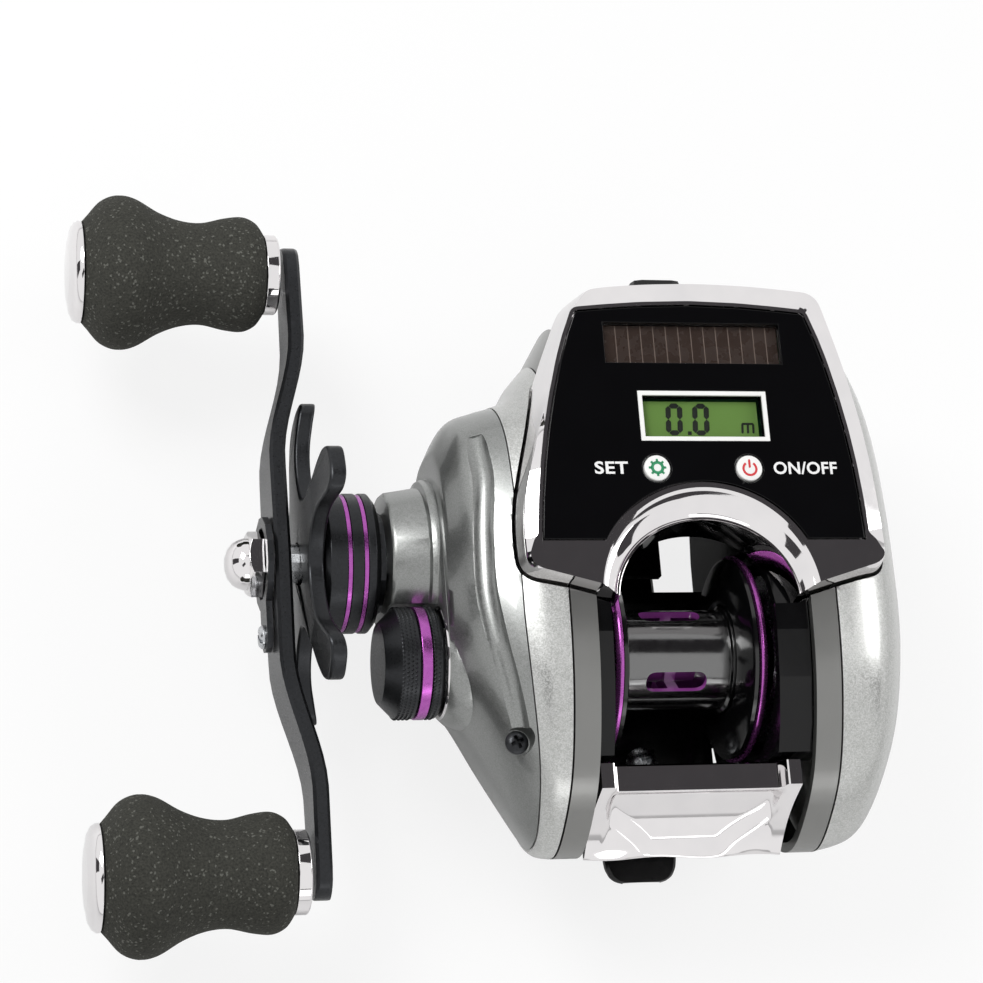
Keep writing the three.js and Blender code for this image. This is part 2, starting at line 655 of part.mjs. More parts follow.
// The watertight tray: floor, wall and the pegs that carry the board.
function displayTray() {
  const top = HOOD_TOP - HOOD_TOP_T - 2 * GAP;
  const pegs = TRAY_PEGS_SHARES.map(([across, along]) => rodZ(
    TRAY_FLOOR - TRAY_T / 2, BOARD_TOP - BOARD.t - GAP, PEG_R,
    THREE.MathUtils.lerp(HOOD_FRONT_LEFT, HOOD_FRONT_RIGHT, across),
    THREE.MathUtils.lerp(ARCH_Y + ARCH_R + ARCH_LIP, HOOD_FRONT_Y, along), SMALL,
  ));
  return join(
    cut(
      lensSlab(-TRAY_MARGIN, TRAY_FLOOR - TRAY_T, top),
      lensSlab(-TRAY_MARGIN - TRAY_T, TRAY_FLOOR, top + OVERRUN),
    ),
    ...pegs,
  );
}

// The frame: two walls, a floor over the foot, a bar at the rear, a deck and the nose.
function mainFrame() {
  const [left, right] = [WALL_LEFT + WALL_LEFT_T / 2, WALL_RIGHT - WALL_RIGHT_T / 2];
  const floor = FOOT_T + GAP;
  const walls = join(
    sideSlab(WALL_INSET, WALL_LEFT, WALL_LEFT + WALL_LEFT_T),
    sideSlab(WALL_INSET, WALL_RIGHT - WALL_RIGHT_T, WALL_RIGHT),
  );
  const bars = join(
    box(left, right, FLOOR_REAR, FLOOR_FRONT, floor, FLOOR_Z),
    box(left, right, FLOOR_REAR, REAR_BAR_FRONT, floor, REAR_BAR_TOP),
    box(left, right, NOSE_REAR, BODY_FRONT, floor, NOSE_FLOOR_Z),
    box(left, right, NOSE_LIP_Y, BODY_FRONT, floor, NOSE_LIP_Z),
    box(left, right, NOSE_ROOF_Y, BODY_FRONT, NOSE_ROOF_Z, HOOD_BOTTOM),
    box(left, DECK_EDGE_X, FLOOR_FRONT, DECK_FRONT, DECK_Z - DECK_T, DECK_Z),
    box(left, right, FLOOR_FRONT - DECK_T, FLOOR_FRONT, floor, FLOOR_Z + DECK_T),
  );
  const posts = YOKE_POST_RISES.flatMap((rise) =>
    rodX(YOKE_X - YOKE_T - GAP, left, YOKE_POST_R, YOKE_POST_Y, SPOOL_Z + rise, SMALL));
  const stud = rodX(WIND_GEAR_X - GAP, left, IDLER_PIN_R, IDLER_Y, IDLER_Z);
  const bores = [
    rodX(WALL_RIGHT - WALL_RIGHT_T - OVERRUN, WALL_RIGHT + OVERRUN, BORE_R, 0, SPOOL_Z, FINE),
    rodX(WALL_LEFT - OVERRUN, WALL_LEFT + WALL_LEFT_T + OVERRUN, PINION_ROOM_R, 0, SPOOL_Z),
    rodX(WALL_LEFT - OVERRUN, WALL_LEFT + WALL_LEFT_T + OVERRUN, DRIVE_TIP_R + GAP, DRIVE_Y, DRIVE_Z),
    rodX(WALL_LEFT - OVERRUN, WALL_RIGHT + OVERRUN, WORM_JOURNAL_R + GAP, WORM_Y, WORM_Z),
    rodX(WALL_LEFT - OVERRUN, WALL_RIGHT + OVERRUN, GUIDE_ROD_R + GAP, WORM_Y, GUIDE_ROD_Z),
    ...FOOT_SCREWS_Y.map((y) => rodZ(0, FLOOR_Z + OVERRUN, FOOT_SCREW_R + GAP, FOOT_SCREW_X, y)),
  ];
  const thumbRoom = box(
    WALL_LEFT - OVERRUN, WALL_RIGHT + OVERRUN, BODY_REAR - OVERRUN, THUMB_FRONT + RUN,
    THUMB_LOW - THUMB_TRAVEL - RUN, BODY_TOP,
  );
  const body = join(walls, bars).intersect(sideSlab(WALL_INSET, WALL_LEFT, WALL_RIGHT));
  return cut(join(cut(body, ...bores, thumbRoom, HOOD_ROOM), ...posts, stud), SPOOL_ROOM);
}

// A smooth band between the frame and a side plate.
function rim(x0, x1, stationShares) {
  const past = OVERRUN / (x1 - x0);
  const [first, last] = stationShares;
  const onward = (end, other) => end.map((value, i) => value + (value - other[i]) * past);
  return cut(
    plateSkin(0, stationShares, x0, x1, PLATE_LEFT_CENTRE),
    plateSkin(RIM_WALL, [onward(first, last), onward(last, first)], x0, x1, PLATE_LEFT_CENTRE),
    HOOD_ROOM,
    HOUSING_ROOM,
  );
}

// The side plate on the crank's side: a domed shell with a tapered boss for the drive shaft and a
// spigot for the cast control cap.
function gearSidePlate() {
  const rim = RIM_LEFT_X - GAP;
  const skin = plateSkin(0, PLATE_LEFT_STATIONS_SHARES, rim, PLATE_LEFT_X, PLATE_LEFT_CENTRE);
  const shell = cut(
    skin,
    plateSkin(SHELL, PLATE_LEFT_CAVITY_SHARES, rim + OVERRUN, PLATE_LEFT_X + SHELL, PLATE_LEFT_CENTRE),
  );
  const { x, y, z, r } = PLATE_SCREW;
  const seat = rodZ(z - SEAT_DEPTH, BODY_TOP, r + SEAT_WALL, x, y).intersect(skin);
  const inside = PLATE_LEFT_X + SHELL;
  const driveBoss = turnedX([
    [inside, DRIVE_BOSS_ROOT_R],
    [PLATE_LEFT_X, DRIVE_BOSS_ROOT_R],
    [PLATE_LEFT_X - BOSS_STEP, DRIVE_BOSS_R + BOSS_STEP],
    [DRIVE_BOSS_X, DRIVE_BOSS_R],
  ], DRIVE_Y, DRIVE_Z, FINE);
  const capRoom = rodX(SPIGOT_X - CAP_LENGTH, CAP_X + RUN, CAP_R + RUN, 0, SPOOL_Z, FINE);
  const bearingEnd = PLATE_LEFT_X + SHELL + BEARING.w;
  const spigot = rodX(SPIGOT_X, bearingEnd, SPIGOT_R, 0, SPOOL_Z);
  return cut(
    join(cut(join(shell, seat, driveBoss), HOOD_ROOM, capRoom), spigot),
    rodX(DRIVE_BOSS_X - OVERRUN, inside + OVERRUN, DRIVE_SHAFT_R + GAP, DRIVE_Y, DRIVE_Z),
    rodX(DRIVE_BOSS_X - OVERRUN, DRIVE_BOSS_X + CLUTCH.w + GAP, CLUTCH.r + GAP, DRIVE_Y, DRIVE_Z),
    rodX(SPIGOT_X - OVERRUN, bearingEnd + OVERRUN, SPOOL_SHAFT_R + RUN, 0, SPOOL_Z),
    rodX(bearingEnd - BEARING.w - GAP, bearingEnd + OVERRUN, BEARING.outer + GAP, 0, SPOOL_Z),
    rodZ(z, BODY_TOP, r + GAP, x, y),
  );
}

function plateScrew() {
  const { x, y, z, r, head } = PLATE_SCREW;
  return turnedZ([[z + GAP, r], [z + GAP + head / 2, r], [z + GAP + head, r / 2]], x, y, SMALL);
}

// The palm side plate: a domed shell with a rib that holds the brake housing and a recess for the dial.
function palmSidePlate() {
  const rim = RIM_RIGHT_X + GAP;
  const skin = plateSkin(0, PLATE_RIGHT_STATIONS_SHARES, rim, PLATE_RIGHT_X, PLATE_RIGHT_CENTRE);
  const shell = cut(
    skin,
    plateSkin(SHELL, PLATE_RIGHT_CAVITY_SHARES, rim - OVERRUN, PLATE_RIGHT_X - SHELL, PLATE_RIGHT_CENTRE),
  );
  const rib = tubeX(rim, PLATE_RIGHT_X, HOUSING_R - RIB_T, HOUSING_R, 0, SPOOL_Z, FINE).intersect(skin);
  const [y, z] = PLATE_RIGHT_CENTRE;
  const well = rodX(PLATE_RIGHT_X - DIAL.depth - SHELL, PLATE_RIGHT_X, DIAL.r + SHELL, y, z);
  return cut(
    join(shell, rib, well),
    HOOD_ROOM,
    rodX(PLATE_RIGHT_X - DIAL.depth, PLATE_RIGHT_X + OVERRUN, DIAL.r + GAP, y, z),
    rodX(PLATE_RIGHT_X - DIAL.depth - SHELL - OVERRUN, PLATE_RIGHT_X, DIAL.stem + GAP, y, z),
  );
}

function brakeDial() {
  const [y, z] = PLATE_RIGHT_CENTRE;
  const face = PLATE_RIGHT_X - DIAL.depth + GAP;
  const disc = turnedX([
    [face - SHELL, DIAL.stem],
    [face, DIAL.stem],
    [face, DIAL.r],
    [PLATE_RIGHT_X - DIAL.grip, DIAL.r],
    [PLATE_RIGHT_X - DIAL.grip, DIAL.r - DIAL.grip],
  ], y, z);
  const grip = extrudeX(
    shapeOf(rounded(rectangle(y - DIAL.grip, y + DIAL.grip, z - DIAL.bar, z + DIAL.bar), DIAL.grip)),
    PLATE_RIGHT_X - DIAL.grip - GAP, PLATE_RIGHT_X,
  );
  return join(disc, grip);
}

// The brake housing closes the bore that the spool comes out of. It holds the magnets and a bearing.
function brakeHousing() {
  const web = WALL_RIGHT + HOUSING_WEB;
  const bearingFace = HOUSING_X + HOUSING_WEB;
  return ringX([
    [HOUSING_X, HOUSING_R - RIB_T], [HOUSING_X, HOUSING_R], [RIM_RIGHT_X, HOUSING_R],
    [RIM_RIGHT_X, HOUSING_R - RIB_T], [web, HOUSING_R - RIB_T], [web, SPOOL_SHAFT_R + GAP],
    [bearingFace + BEARING.w + GAP, SPOOL_SHAFT_R + GAP],
    [bearingFace + BEARING.w + GAP, BEARING.outer + GAP], [bearingFace, BEARING.outer + GAP],
    [bearingFace, HOUSING_BOSS_R], [WALL_RIGHT, HOUSING_BOSS_R], [WALL_RIGHT, HOUSING_R - RIB_T],
  ], 0, SPOOL_Z);
}

function magnetRing() {
  const [x0, x1] = [WALL_RIGHT - GAP - MAGNET.t, WALL_RIGHT - GAP];
  const outer = HOUSING_R - RIB_T - MAGNET.margin;
  const ring = tubeX(x0, x1, MAGNET.inner, outer, 0, SPOOL_Z);
  const gaps = around(MAGNET.count, (angle) => turnAbout(
    box(x0 - OVERRUN, x0 + MAGNET.t / 2, MAGNET.inner + MAGNET.notch, outer + OVERRUN,
      -MAGNET.notch / 2, MAGNET.notch / 2), angle, 0, SPOOL_Z));
  return cut(ring, ...gaps);
}

function bearing(x) {
  return tubeX(x, x + BEARING.w, BEARING.inner, BEARING.outer, 0, SPOOL_Z);
}

function around(count, make) {
  return Array.from({ length: count }, (_, i) => make((i * 2 * Math.PI) / count));
}

// Turns a solid about X and then moves it to an axis.
function turnAbout(body, angle, y, z) {
  return moved(body, new THREE.Matrix4().makeRotationX(angle).setPosition(0, y, z));
}

// Toothed outlines: each flank is straight between an involute's root and its tip.
function gearShape(teeth, phase, bore) {
  const pitch = (MODULE * teeth) / 2;
  const base = pitch * Math.cos(PRESSURE_ANGLE);
  const roll = (r) => {
    const angle = Math.acos(Math.min(1, base / r));
    return Math.tan(angle) - angle;
  };
  const half = (r) => Math.PI / (2 * teeth) - BACKLASH / (4 * pitch) + roll(pitch) - roll(r);
  const radii = [pitch - DEDENDUM_SHARE * MODULE, pitch + ADDENDUM_SHARE * MODULE];
  const points = [];
  for (let i = 0; i < teeth; i += 1) {
    const middle = phase + (i * 2 * Math.PI) / teeth;
    const at = (r, turn) => points.push([r * Math.cos(middle + turn), r * Math.sin(middle + turn)]);
    for (const r of radii) at(r, -half(Math.max(r, base)));
    for (const r of radii.toReversed()) at(r, half(Math.max(r, base)));
  }
  const shape = shapeOf(points);
  shape.holes.push(new THREE.Path().absarc(0, 0, bore, 0, 2 * Math.PI, true));
  return shape;
}

// The angle of a follower's tooth that puts a gap of it over the driver's nearest tooth.
function meshPhase(toward, driverPhase, driverTeeth, followerTeeth) {
  const turns = ((toward - driverPhase) * driverTeeth) / (2 * Math.PI);
  const past = turns - Math.floor(turns);
  return toward + Math.PI + ((past + 1 / 2) * 2 * Math.PI) / followerTeeth;
}

function gear(teeth, phase, bore, x, width, y, z) {
  return turnAbout(extrudeX(gearShape(teeth, phase, bore), x, x + width), 0, y, z);
}

const TO_SPOOL = Math.atan2(SPOOL_Z - DRIVE_Z, -DRIVE_Y);
const TO_IDLER = Math.atan2(IDLER_Z - DRIVE_Z, IDLER_Y - DRIVE_Y);
const TO_WORM = Math.atan2(WORM_Z - IDLER_Z, WORM_Y - IDLER_Y);
const PINION_PHASE = meshPhase(TO_SPOOL, 0, DRIVE_TEETH, PINION_TEETH);
const IDLER_PHASE = meshPhase(TO_IDLER, 0, WIND_TEETH, IDLER_TEETH);
const WORM_PHASE = meshPhase(TO_WORM, IDLER_PHASE, IDLER_TEETH, WORM_TEETH);

function driveGear() {
  return gear(DRIVE_TEETH, 0, DRIVE_SHAFT_R + GAP, DRIVE_GEAR_X, DRIVE_GEAR_T, DRIVE_Y, DRIVE_Z);
}

function pinionGear() {
  const teeth = gear(
    PINION_TEETH, PINION_PHASE, SPOOL_SHAFT_R + GAP, PINION.x, PINION.teeth, 0, SPOOL_Z);
  const end = PINION.x - PINION.hub;
  const groove = YOKE_X - YOKE_T / 2;
  const hub = ringX([
    [PINION.x + PINION.teeth / 2, SPOOL_SHAFT_R + GAP],
    [PINION.x + PINION.teeth / 2, PINION.waist],
    [PINION.x, PINION.waist],
    [PINION.x, PINION.r],
    [groove + YOKE_T, PINION.r],
    [groove + YOKE_T, PINION.waist],
    [groove - YOKE_T, PINION.waist],
    [groove - YOKE_T, PINION.r],
    [end, PINION.r],
    [end, SPOOL_SHAFT_R + GAP],
  ], 0, SPOOL_Z);
  return join(teeth, hub);
}

// The yoke that lifts the pinion off the spool's shaft, on its two posts.
function clutchYoke() {
  const [low, high] = YOKE_POST_RISES.map((rise) => SPOOL_Z + rise);
  const plate = extrudeX(
    shapeOf(rounded(
      rectangle(YOKE_POST_Y - YOKE_RIM, PINION.waist, low - YOKE_RIM, high + YOKE_RIM), YOKE_RIM)),
    YOKE_X - YOKE_T, YOKE_X,
  );
  const fork = PINION.waist + GAP;
  return cut(
    plate,
    rodX(YOKE_X - YOKE_T - OVERRUN, YOKE_X + OVERRUN, fork, 0, SPOOL_Z),
    box(YOKE_X - YOKE_T - OVERRUN, YOKE_X + OVERRUN, 0, 2 * PINION.waist, SPOOL_Z - fork, SPOOL_Z + fork),
    ...[low, high].map((z) =>
      rodX(YOKE_X - YOKE_T - OVERRUN, YOKE_X + OVERRUN, YOKE_POST_R + GAP, YOKE_POST_Y, z)),
  );
}

const FLANGE_X = SPOOL_WIDTH / 2 - RIM_T - GAP;

// The spool: a thin drum with slots through it, and a web and hub inside it.
function spool() {
  const side = [[FLANGE_X, DRUM_R - DRUM_WALL], [FLANGE_X, DRUM_R]];
  const inner = [
    [WEB_T / 2, DRUM_R - DRUM_WALL], [WEB_T / 2, HUB_R], [HUB_LENGTH / 2, HUB_R],
    [HUB_LENGTH / 2, SPOOL_SHAFT_R + GAP],
  ];
  const mirror = (points) => points.map(([x, r]) => [-x, r]).toReversed();
  const body = ringX([...side, ...mirror(side), ...mirror(inner).toReversed(), ...inner.toReversed()],
    0, SPOOL_Z, FINE);
  const slots = around(SLOT_COUNT, (angle) => turnAbout(
    box(-SLOT_LENGTH / 2, SLOT_LENGTH / 2, -SLOT_WIDTH / 2, SLOT_WIDTH / 2, HUB_R + WEB_T, DRUM_R + OVERRUN),
    angle + SLOT_PHASE, 0, SPOOL_Z));
  return cut(body, ...slots);
}

// A flange cones down to the drum and holds one of the coloured rims.
function spoolFlange(side) {
  return ringX([
    [side * FLANGE_X, DRUM_R + GAP], [side * FLANGE_X, FLANGE_R],
    [side * (FLANGE_X - FLANGE_T), FLANGE_R], [(side * DRUM_WIDTH) / 2, DRUM_R + GAP],
  ], 0, SPOOL_Z, FINE);
}

function spoolRim(side) {
  const end = (side * SPOOL_WIDTH) / 2;
  const inner = end - side * RIM_T;
  return ringX([
    [inner, FLANGE_R - RIM_SEAT], [end, FLANGE_R - RIM_SEAT], [end, FLANGE_R], [inner, RIM_R],
  ], 0, SPOOL_Z, FINE);
}

function spoolShaft() {
  return turnedX([
    [SHAFT_END, SPOOL_SHAFT_R - GAP], [SHAFT_END + GAP, SPOOL_SHAFT_R],
    [HOUSING_X + HOUSING_WEB + BEARING.w, SPOOL_SHAFT_R],
  ], 0, SPOOL_Z);
}

function driveShaft() {
  return turnedX([
    [WALL_LEFT + WALL_LEFT_T, DRIVE_TIP_R],
    [WALL_LEFT - GAP, DRIVE_TIP_R],
    [WALL_LEFT - GAP, DRIVE_SHAFT_R],
    [DRAG_KNOB_X + GAP, DRIVE_SHAFT_R],
    [DRAG_KNOB_X, THREAD_R],
    [ARM_X - ARM_T - NUT_T, THREAD_R],
  ], DRIVE_Y, DRIVE_Z);
}

function shaftRing(x, thickness, r) {
  return tubeX(x, x + thickness, DRIVE_SHAFT_R + GAP, r, DRIVE_Y, DRIVE_Z, FINE);
}

// The drag star's barrel, with two grooves for its coloured lines.
function dragBarrel() {
  const end = STAR_X + GAP;
  const groove = DRAG_LINE_T / 2 + GAP;
  const bottom = DRAG_KNOB_R - DRAG_LINE_DEPTH - GAP;
  const lines = DRAG_LINES_X.flatMap((x) => [
    [x + groove, DRAG_KNOB_R], [x + groove, bottom], [x - groove, bottom], [x - groove, DRAG_KNOB_R],
  ]);
  return ringX([
    [DRAG_KNOB_X, THREAD_R + GAP], [DRAG_KNOB_X, DRAG_KNOB_R - BARREL_BEVEL],
    [DRAG_KNOB_X - BARREL_BEVEL, DRAG_KNOB_R], ...lines,
    [end + BARREL_BEVEL, DRAG_KNOB_R], [end, DRAG_KNOB_R - BARREL_BEVEL], [end, THREAD_R + GAP],
  ], DRIVE_Y, DRIVE_Z, FINE);
}

function dragLine(x) {
  const inner = DRAG_KNOB_R - DRAG_LINE_DEPTH;
  return tubeX(x - DRAG_LINE_T / 2, x + DRAG_LINE_T / 2, inner, DRAG_KNOB_R, DRIVE_Y, DRIVE_Z, FINE);
}

// The star: arms that narrow, swell to a paddle and bend toward the body at their tips.
function starDrag() {
  const arm = [...STAR_ARM_SHARES, ...STAR_ARM_SHARES.slice(0, -1).toReversed().map(([r, w]) => [r, -w])];
  const points = around(STAR_ARMS, (angle) => arm.map(([reach, width]) => {
    const turn = angle + STAR_PHASE - Math.atan2(width, reach);
    const r = Math.hypot(reach, width) * STAR_TIP_R;
    return [r * Math.cos(turn), r * Math.sin(turn)];
  })).flat();
  const star = extrudeX(shapeOf(points), STAR_X - STAR_T, STAR_X);
  const bent = reshaped(star, (p) => {
    const out = Math.max(0, Math.hypot(p.y, p.z) / STAR_TIP_R - STAR_BEND_SHARE) / (1 - STAR_BEND_SHARE);
    p.x += STAR_BEND * out ** 2;
  });
  return cut(
    moved(bent, new THREE.Matrix4().makeTranslation(0, DRIVE_Y, DRIVE_Z)),
    rodX(STAR_X - STAR_T - OVERRUN, STAR_X + STAR_BEND + OVERRUN, THREAD_R + GAP, DRIVE_Y, DRIVE_Z),
  );
}

// The handle: a plate that narrows outward and slants toward the body past its middle, with the two
// pins that are riveted through its ends.
function handleArm() {
  const half = (along) => THREE.MathUtils.lerp(ARM_WIDTH, ARM_END_WIDTH, Math.min(1, along / ARM_HALF)) / 2;
  const round = ARM_END_WIDTH / 2;
  const places = [
    0, ARM_BEND_START, (ARM_BEND_START + ARM_BEND_END) / 2, ARM_BEND_END, ARM_HALF,
    ...ARM_END_SHARES.map((share) => ARM_HALF + round * share),
  ];
  const rings = [...places.slice(1).toReversed().map((y) => -y), ...places].map((y) => {
    const along = Math.abs(y);
    const slant = THREE.MathUtils.smoothstep(along, ARM_BEND_START, ARM_BEND_END);
    const past = Math.max(0, along - ARM_HALF) / round;
    const w = half(along) * Math.sqrt(1 - past ** 2);
    const out = ARM_X - ARM_T + ARM_OFFSET * slant;
    const bevel = Math.min(ARM_BEVEL, w / 2);
    return [
      [out + ARM_T, w - bevel], [out + ARM_T - bevel, w], [out + bevel, w], [out, w - bevel],
      [out, bevel - w], [out + bevel, -w], [out + ARM_T - bevel, -w], [out + ARM_T, bevel - w],
    ].map(([x, z]) => new THREE.Vector3(x, DRIVE_Y + y, DRIVE_Z + z));
  });
  const bore = rodX(ARM_X - ARM_T - OVERRUN, ARM_X + OVERRUN, THREAD_R + GAP, DRIVE_Y, DRIVE_Z);
  return join(cut(loft(rings), bore), ...[-1, 1].map((side) => knobPin(DRIVE_Y + side * ARM_HALF)));
}

const NUT_X = ARM_X - ARM_T - GAP;

// The acorn nut on the shaft's end: six flats and a dome.
function handleNut() {
  const reach = NUT_FLAT / Math.sqrt(3);
  const hexagon = around(6, (angle) => [reach * Math.cos(angle), reach * Math.sin(angle)]);
  const flats = moved(
    extrudeX(shapeOf(hexagon), NUT_X - NUT_T, NUT_X),
    new THREE.Matrix4().makeTranslation(0, DRIVE_Y, DRIVE_Z),
  );
  const dome = turnedX(DOME_SHARES.map(([out, r]) => [NUT_X - NUT_T / 2 - DOME_T * out, DOME_R * r]),
    DRIVE_Y, DRIVE_Z);
  const bore = rodX(NUT_X - NUT_T, NUT_X + OVERRUN, THREAD_R + GAP, DRIVE_Y, DRIVE_Z);
  return cut(join(flats, dome), bore);
}

// The clip that keeps the nut from turning, with a hole for its small screw.
function nutRetainer() {
  const ring = RETAINER.ring;
  const tongue = rounded(
    rectangle(DRIVE_Y - RETAINER.reach, DRIVE_Y, DRIVE_Z - RETAINER.w / 2, DRIVE_Z + RETAINER.w / 2),
    RETAINER.w / 2);
  return cut(
    join(
      extrudeX(shapeOf(tongue), NUT_X - RETAINER.t, NUT_X),
      rodX(NUT_X - RETAINER.t, NUT_X, ring, DRIVE_Y, DRIVE_Z),
    ),
    rodX(NUT_X - RETAINER.t - OVERRUN, NUT_X + OVERRUN, NUT_FLAT / Math.sqrt(3) + GAP, DRIVE_Y, DRIVE_Z),
    rodX(NUT_X - RETAINER.t - OVERRUN, NUT_X + OVERRUN, RETAINER.screw, RETAINER_SCREW_Y, DRIVE_Z),
  );
}

const KNOB_X = ARM_X - ARM_T + ARM_OFFSET - KNOB_GAP;

function knobPin(y) {
  const face = ARM_X + ARM_OFFSET;
  return turnedX([
    [face + RIVET_T, KNOB_PIN_R + RIVET_T / 2],
    [face + RIVET_T / 2, KNOB_PIN_R + RIVET_T],
    [face - ARM_T / 2, KNOB_PIN_R + RIVET_T],
    [face - ARM_T / 2, KNOB_PIN_R],
    [KNOB_X - KNOB_LENGTH + CAP_T + GAP, KNOB_PIN_R],
  ], y, DRIVE_Z);
}

function knobGrip(y) {
  const bore = KNOB_PIN_R + GAP;
  const inner = KNOB_X - COLLAR_T - GAP;
  const outer = KNOB_SHARES.map(([along, r]) => [inner - GRIP_LENGTH * (1 - along), KNOB_R * r]);
  return ringX([[outer[0][0], bore], ...outer, [outer.at(-1)[0], bore]], y, DRIVE_Z, ROUND);
}

function knobCollar(y) {
  return ringX([
    [KNOB_X, KNOB_PIN_R + GAP], [KNOB_X, COLLAR_R - GAP], [KNOB_X - GAP, COLLAR_R],
    [KNOB_X - COLLAR_T, COLLAR_R], [KNOB_X - COLLAR_T, KNOB_PIN_R + GAP],
  ], y, DRIVE_Z);
}

function knobCap(y) {
  const seat = KNOB_X - COLLAR_T - 2 * GAP - GRIP_LENGTH;
  const dome = CAP_SHARES.map(([out, r]) => [seat - (CAP_T - 2 * GAP) * out, KNOB_CAP_R * r]);
  return turnedX(dome, y, DRIVE_Z);
}

// The cast control cap: a cup over the spigot, with a pin that bears on the spool's shaft.
function tensionKnob() {
  const end = CAP_X - CAP_LENGTH;
  const bore = SPIGOT_R + GAP;
  const pinEnd = SHAFT_END - GAP;
  const band = TENSION_BAND_X;
  return join(
    ringX([
      [CAP_X, bore], [CAP_X, CAP_R - CAP_BEVEL], [CAP_X - CAP_BEVEL, CAP_R],
      [band + TENSION_BAND_T / 2 + GAP, CAP_R],
      [band + TENSION_BAND_T / 2 + GAP, CAP_R - TENSION_BAND_DEPTH - GAP],
      [band - TENSION_BAND_T / 2 - GAP, CAP_R - TENSION_BAND_DEPTH - GAP],
      [band - TENSION_BAND_T / 2 - GAP, CAP_R],
      [end + CAP_CHAMFER, CAP_R], [end, CAP_R - CAP_CHAMFER], [end, SPOOL_SHAFT_R / 2],
      [end + CAP_FACE_T, SPOOL_SHAFT_R / 2], [end + CAP_FACE_T, bore],
    ], 0, SPOOL_Z, FINE),
    rodX(end + CAP_FACE_T / 2, pinEnd, SPOOL_SHAFT_R, 0, SPOOL_Z),
  );
}

function tensionBand() {
  const half = TENSION_BAND_T / 2;
  const inner = CAP_R - TENSION_BAND_DEPTH;
  return tubeX(TENSION_BAND_X - half, TENSION_BAND_X + half, inner, CAP_R, 0, SPOOL_Z, FINE);
}

// The worm: two grooves of opposite hand that cross, cut into the shaft's middle.
function wormShaft() {
  const half = WALL_RIGHT - WALL_RIGHT_T - RUN;
  const steps = WORM_TURNS * WORM_STEPS_PER_TURN;
  const groove = (angle, share) => {
    const lead = 2 * Math.PI * WORM_TURNS * share;
    const depths = [lead, -lead].map((turn) => {
      const away = (1 - Math.cos(angle - turn)) / 2;
      return Math.max(0, 1 - away / GROOVE_SHARE);
    });
    return WORM_GROOVE * Math.max(...depths);
  };
  const rings = Array.from({ length: steps + 1 }, (_, i) => {
    const share = i / steps;
    return Array.from({ length: WORM_SIDES }, (_, k) => {
      const angle = (2 * Math.PI * k) / WORM_SIDES;
      const r = WORM_R - groove(angle, share);
      const [y, z] = [WORM_Y + r * Math.cos(angle), WORM_Z + r * Math.sin(angle)];
      return new THREE.Vector3((2 * share - 1) * half, y, z);
    });
  });
  return join(loft(rings), rodX(WIND_GEAR_X - GAP, WALL_RIGHT, WORM_JOURNAL_R, WORM_Y, WORM_Z));
}

// The line guide: a block on the worm and the rod, with a nose that carries the eye.
function lineGuide() {
  const [left, right] = [GUIDE_X - GUIDE_WIDTH / 2, GUIDE_X + GUIDE_WIDTH / 2];
  const lower = WORM_R + RUN + GUIDE_WALL;
  const upper = GUIDE_ROD_R + GAP + GUIDE_WALL;
  const eyeZ = EYE_Z;
  const nose = loft(NOSE_SHARES.map(([along, w, h]) => {
    const y = THREE.MathUtils.lerp(WORM_Y, GUIDE_NOSE_Y, along);
    const [a, b] = [(GUIDE_WIDTH / 2) * w, (EYE_R + 2 * EYE_WALL + GUIDE_WALL) * h];
    return rounded(rectangle(-a, a, -b, b), NOSE_CORNER, 2).map(([x, z]) =>
      new THREE.Vector3(GUIDE_X + x, y, eyeZ + z));
  }));
  return cut(
    join(
      rodX(left, right, lower, WORM_Y, WORM_Z),
      rodX(left, right, upper, WORM_Y, GUIDE_ROD_Z),
      box(left, right, WORM_Y - upper, WORM_Y + upper, WORM_Z, GUIDE_ROD_Z),
      nose,
      rodZ(WORM_Z - lower - PAWL_T, WORM_Z - WORM_R - RUN, PAWL_R, GUIDE_X, WORM_Y),
    ),
    rodX(left - OVERRUN, right + OVERRUN, WORM_R + RUN, WORM_Y, WORM_Z),
    rodX(left - OVERRUN, right + OVERRUN, GUIDE_ROD_R + GAP, WORM_Y, GUIDE_ROD_Z),
    rodY(WORM_Y - 2 * upper, GUIDE_NOSE_Y + OVERRUN, EYE_R, GUIDE_X, eyeZ),
    rodY(GUIDE_NOSE_Y - EYE_DEPTH, GUIDE_NOSE_Y + OVERRUN, EYE_R + EYE_WALL + GAP, GUIDE_X, eyeZ),
  );
}

function guideEye() {
  const [y0, y1] = [GUIDE_NOSE_Y - EYE_DEPTH + GAP, GUIDE_NOSE_Y + GAP];
  return turned([
    [y0, EYE_R], [y0, EYE_R + EYE_WALL], [y1, EYE_R + EYE_WALL], [y1, EYE_R + EYE_WALL / 2],
    [(y0 + y1) / 2, EYE_R],
  ], LATHE_ALONG_Y, [GUIDE_X, 0, EYE_Z], ROUND, true);
}

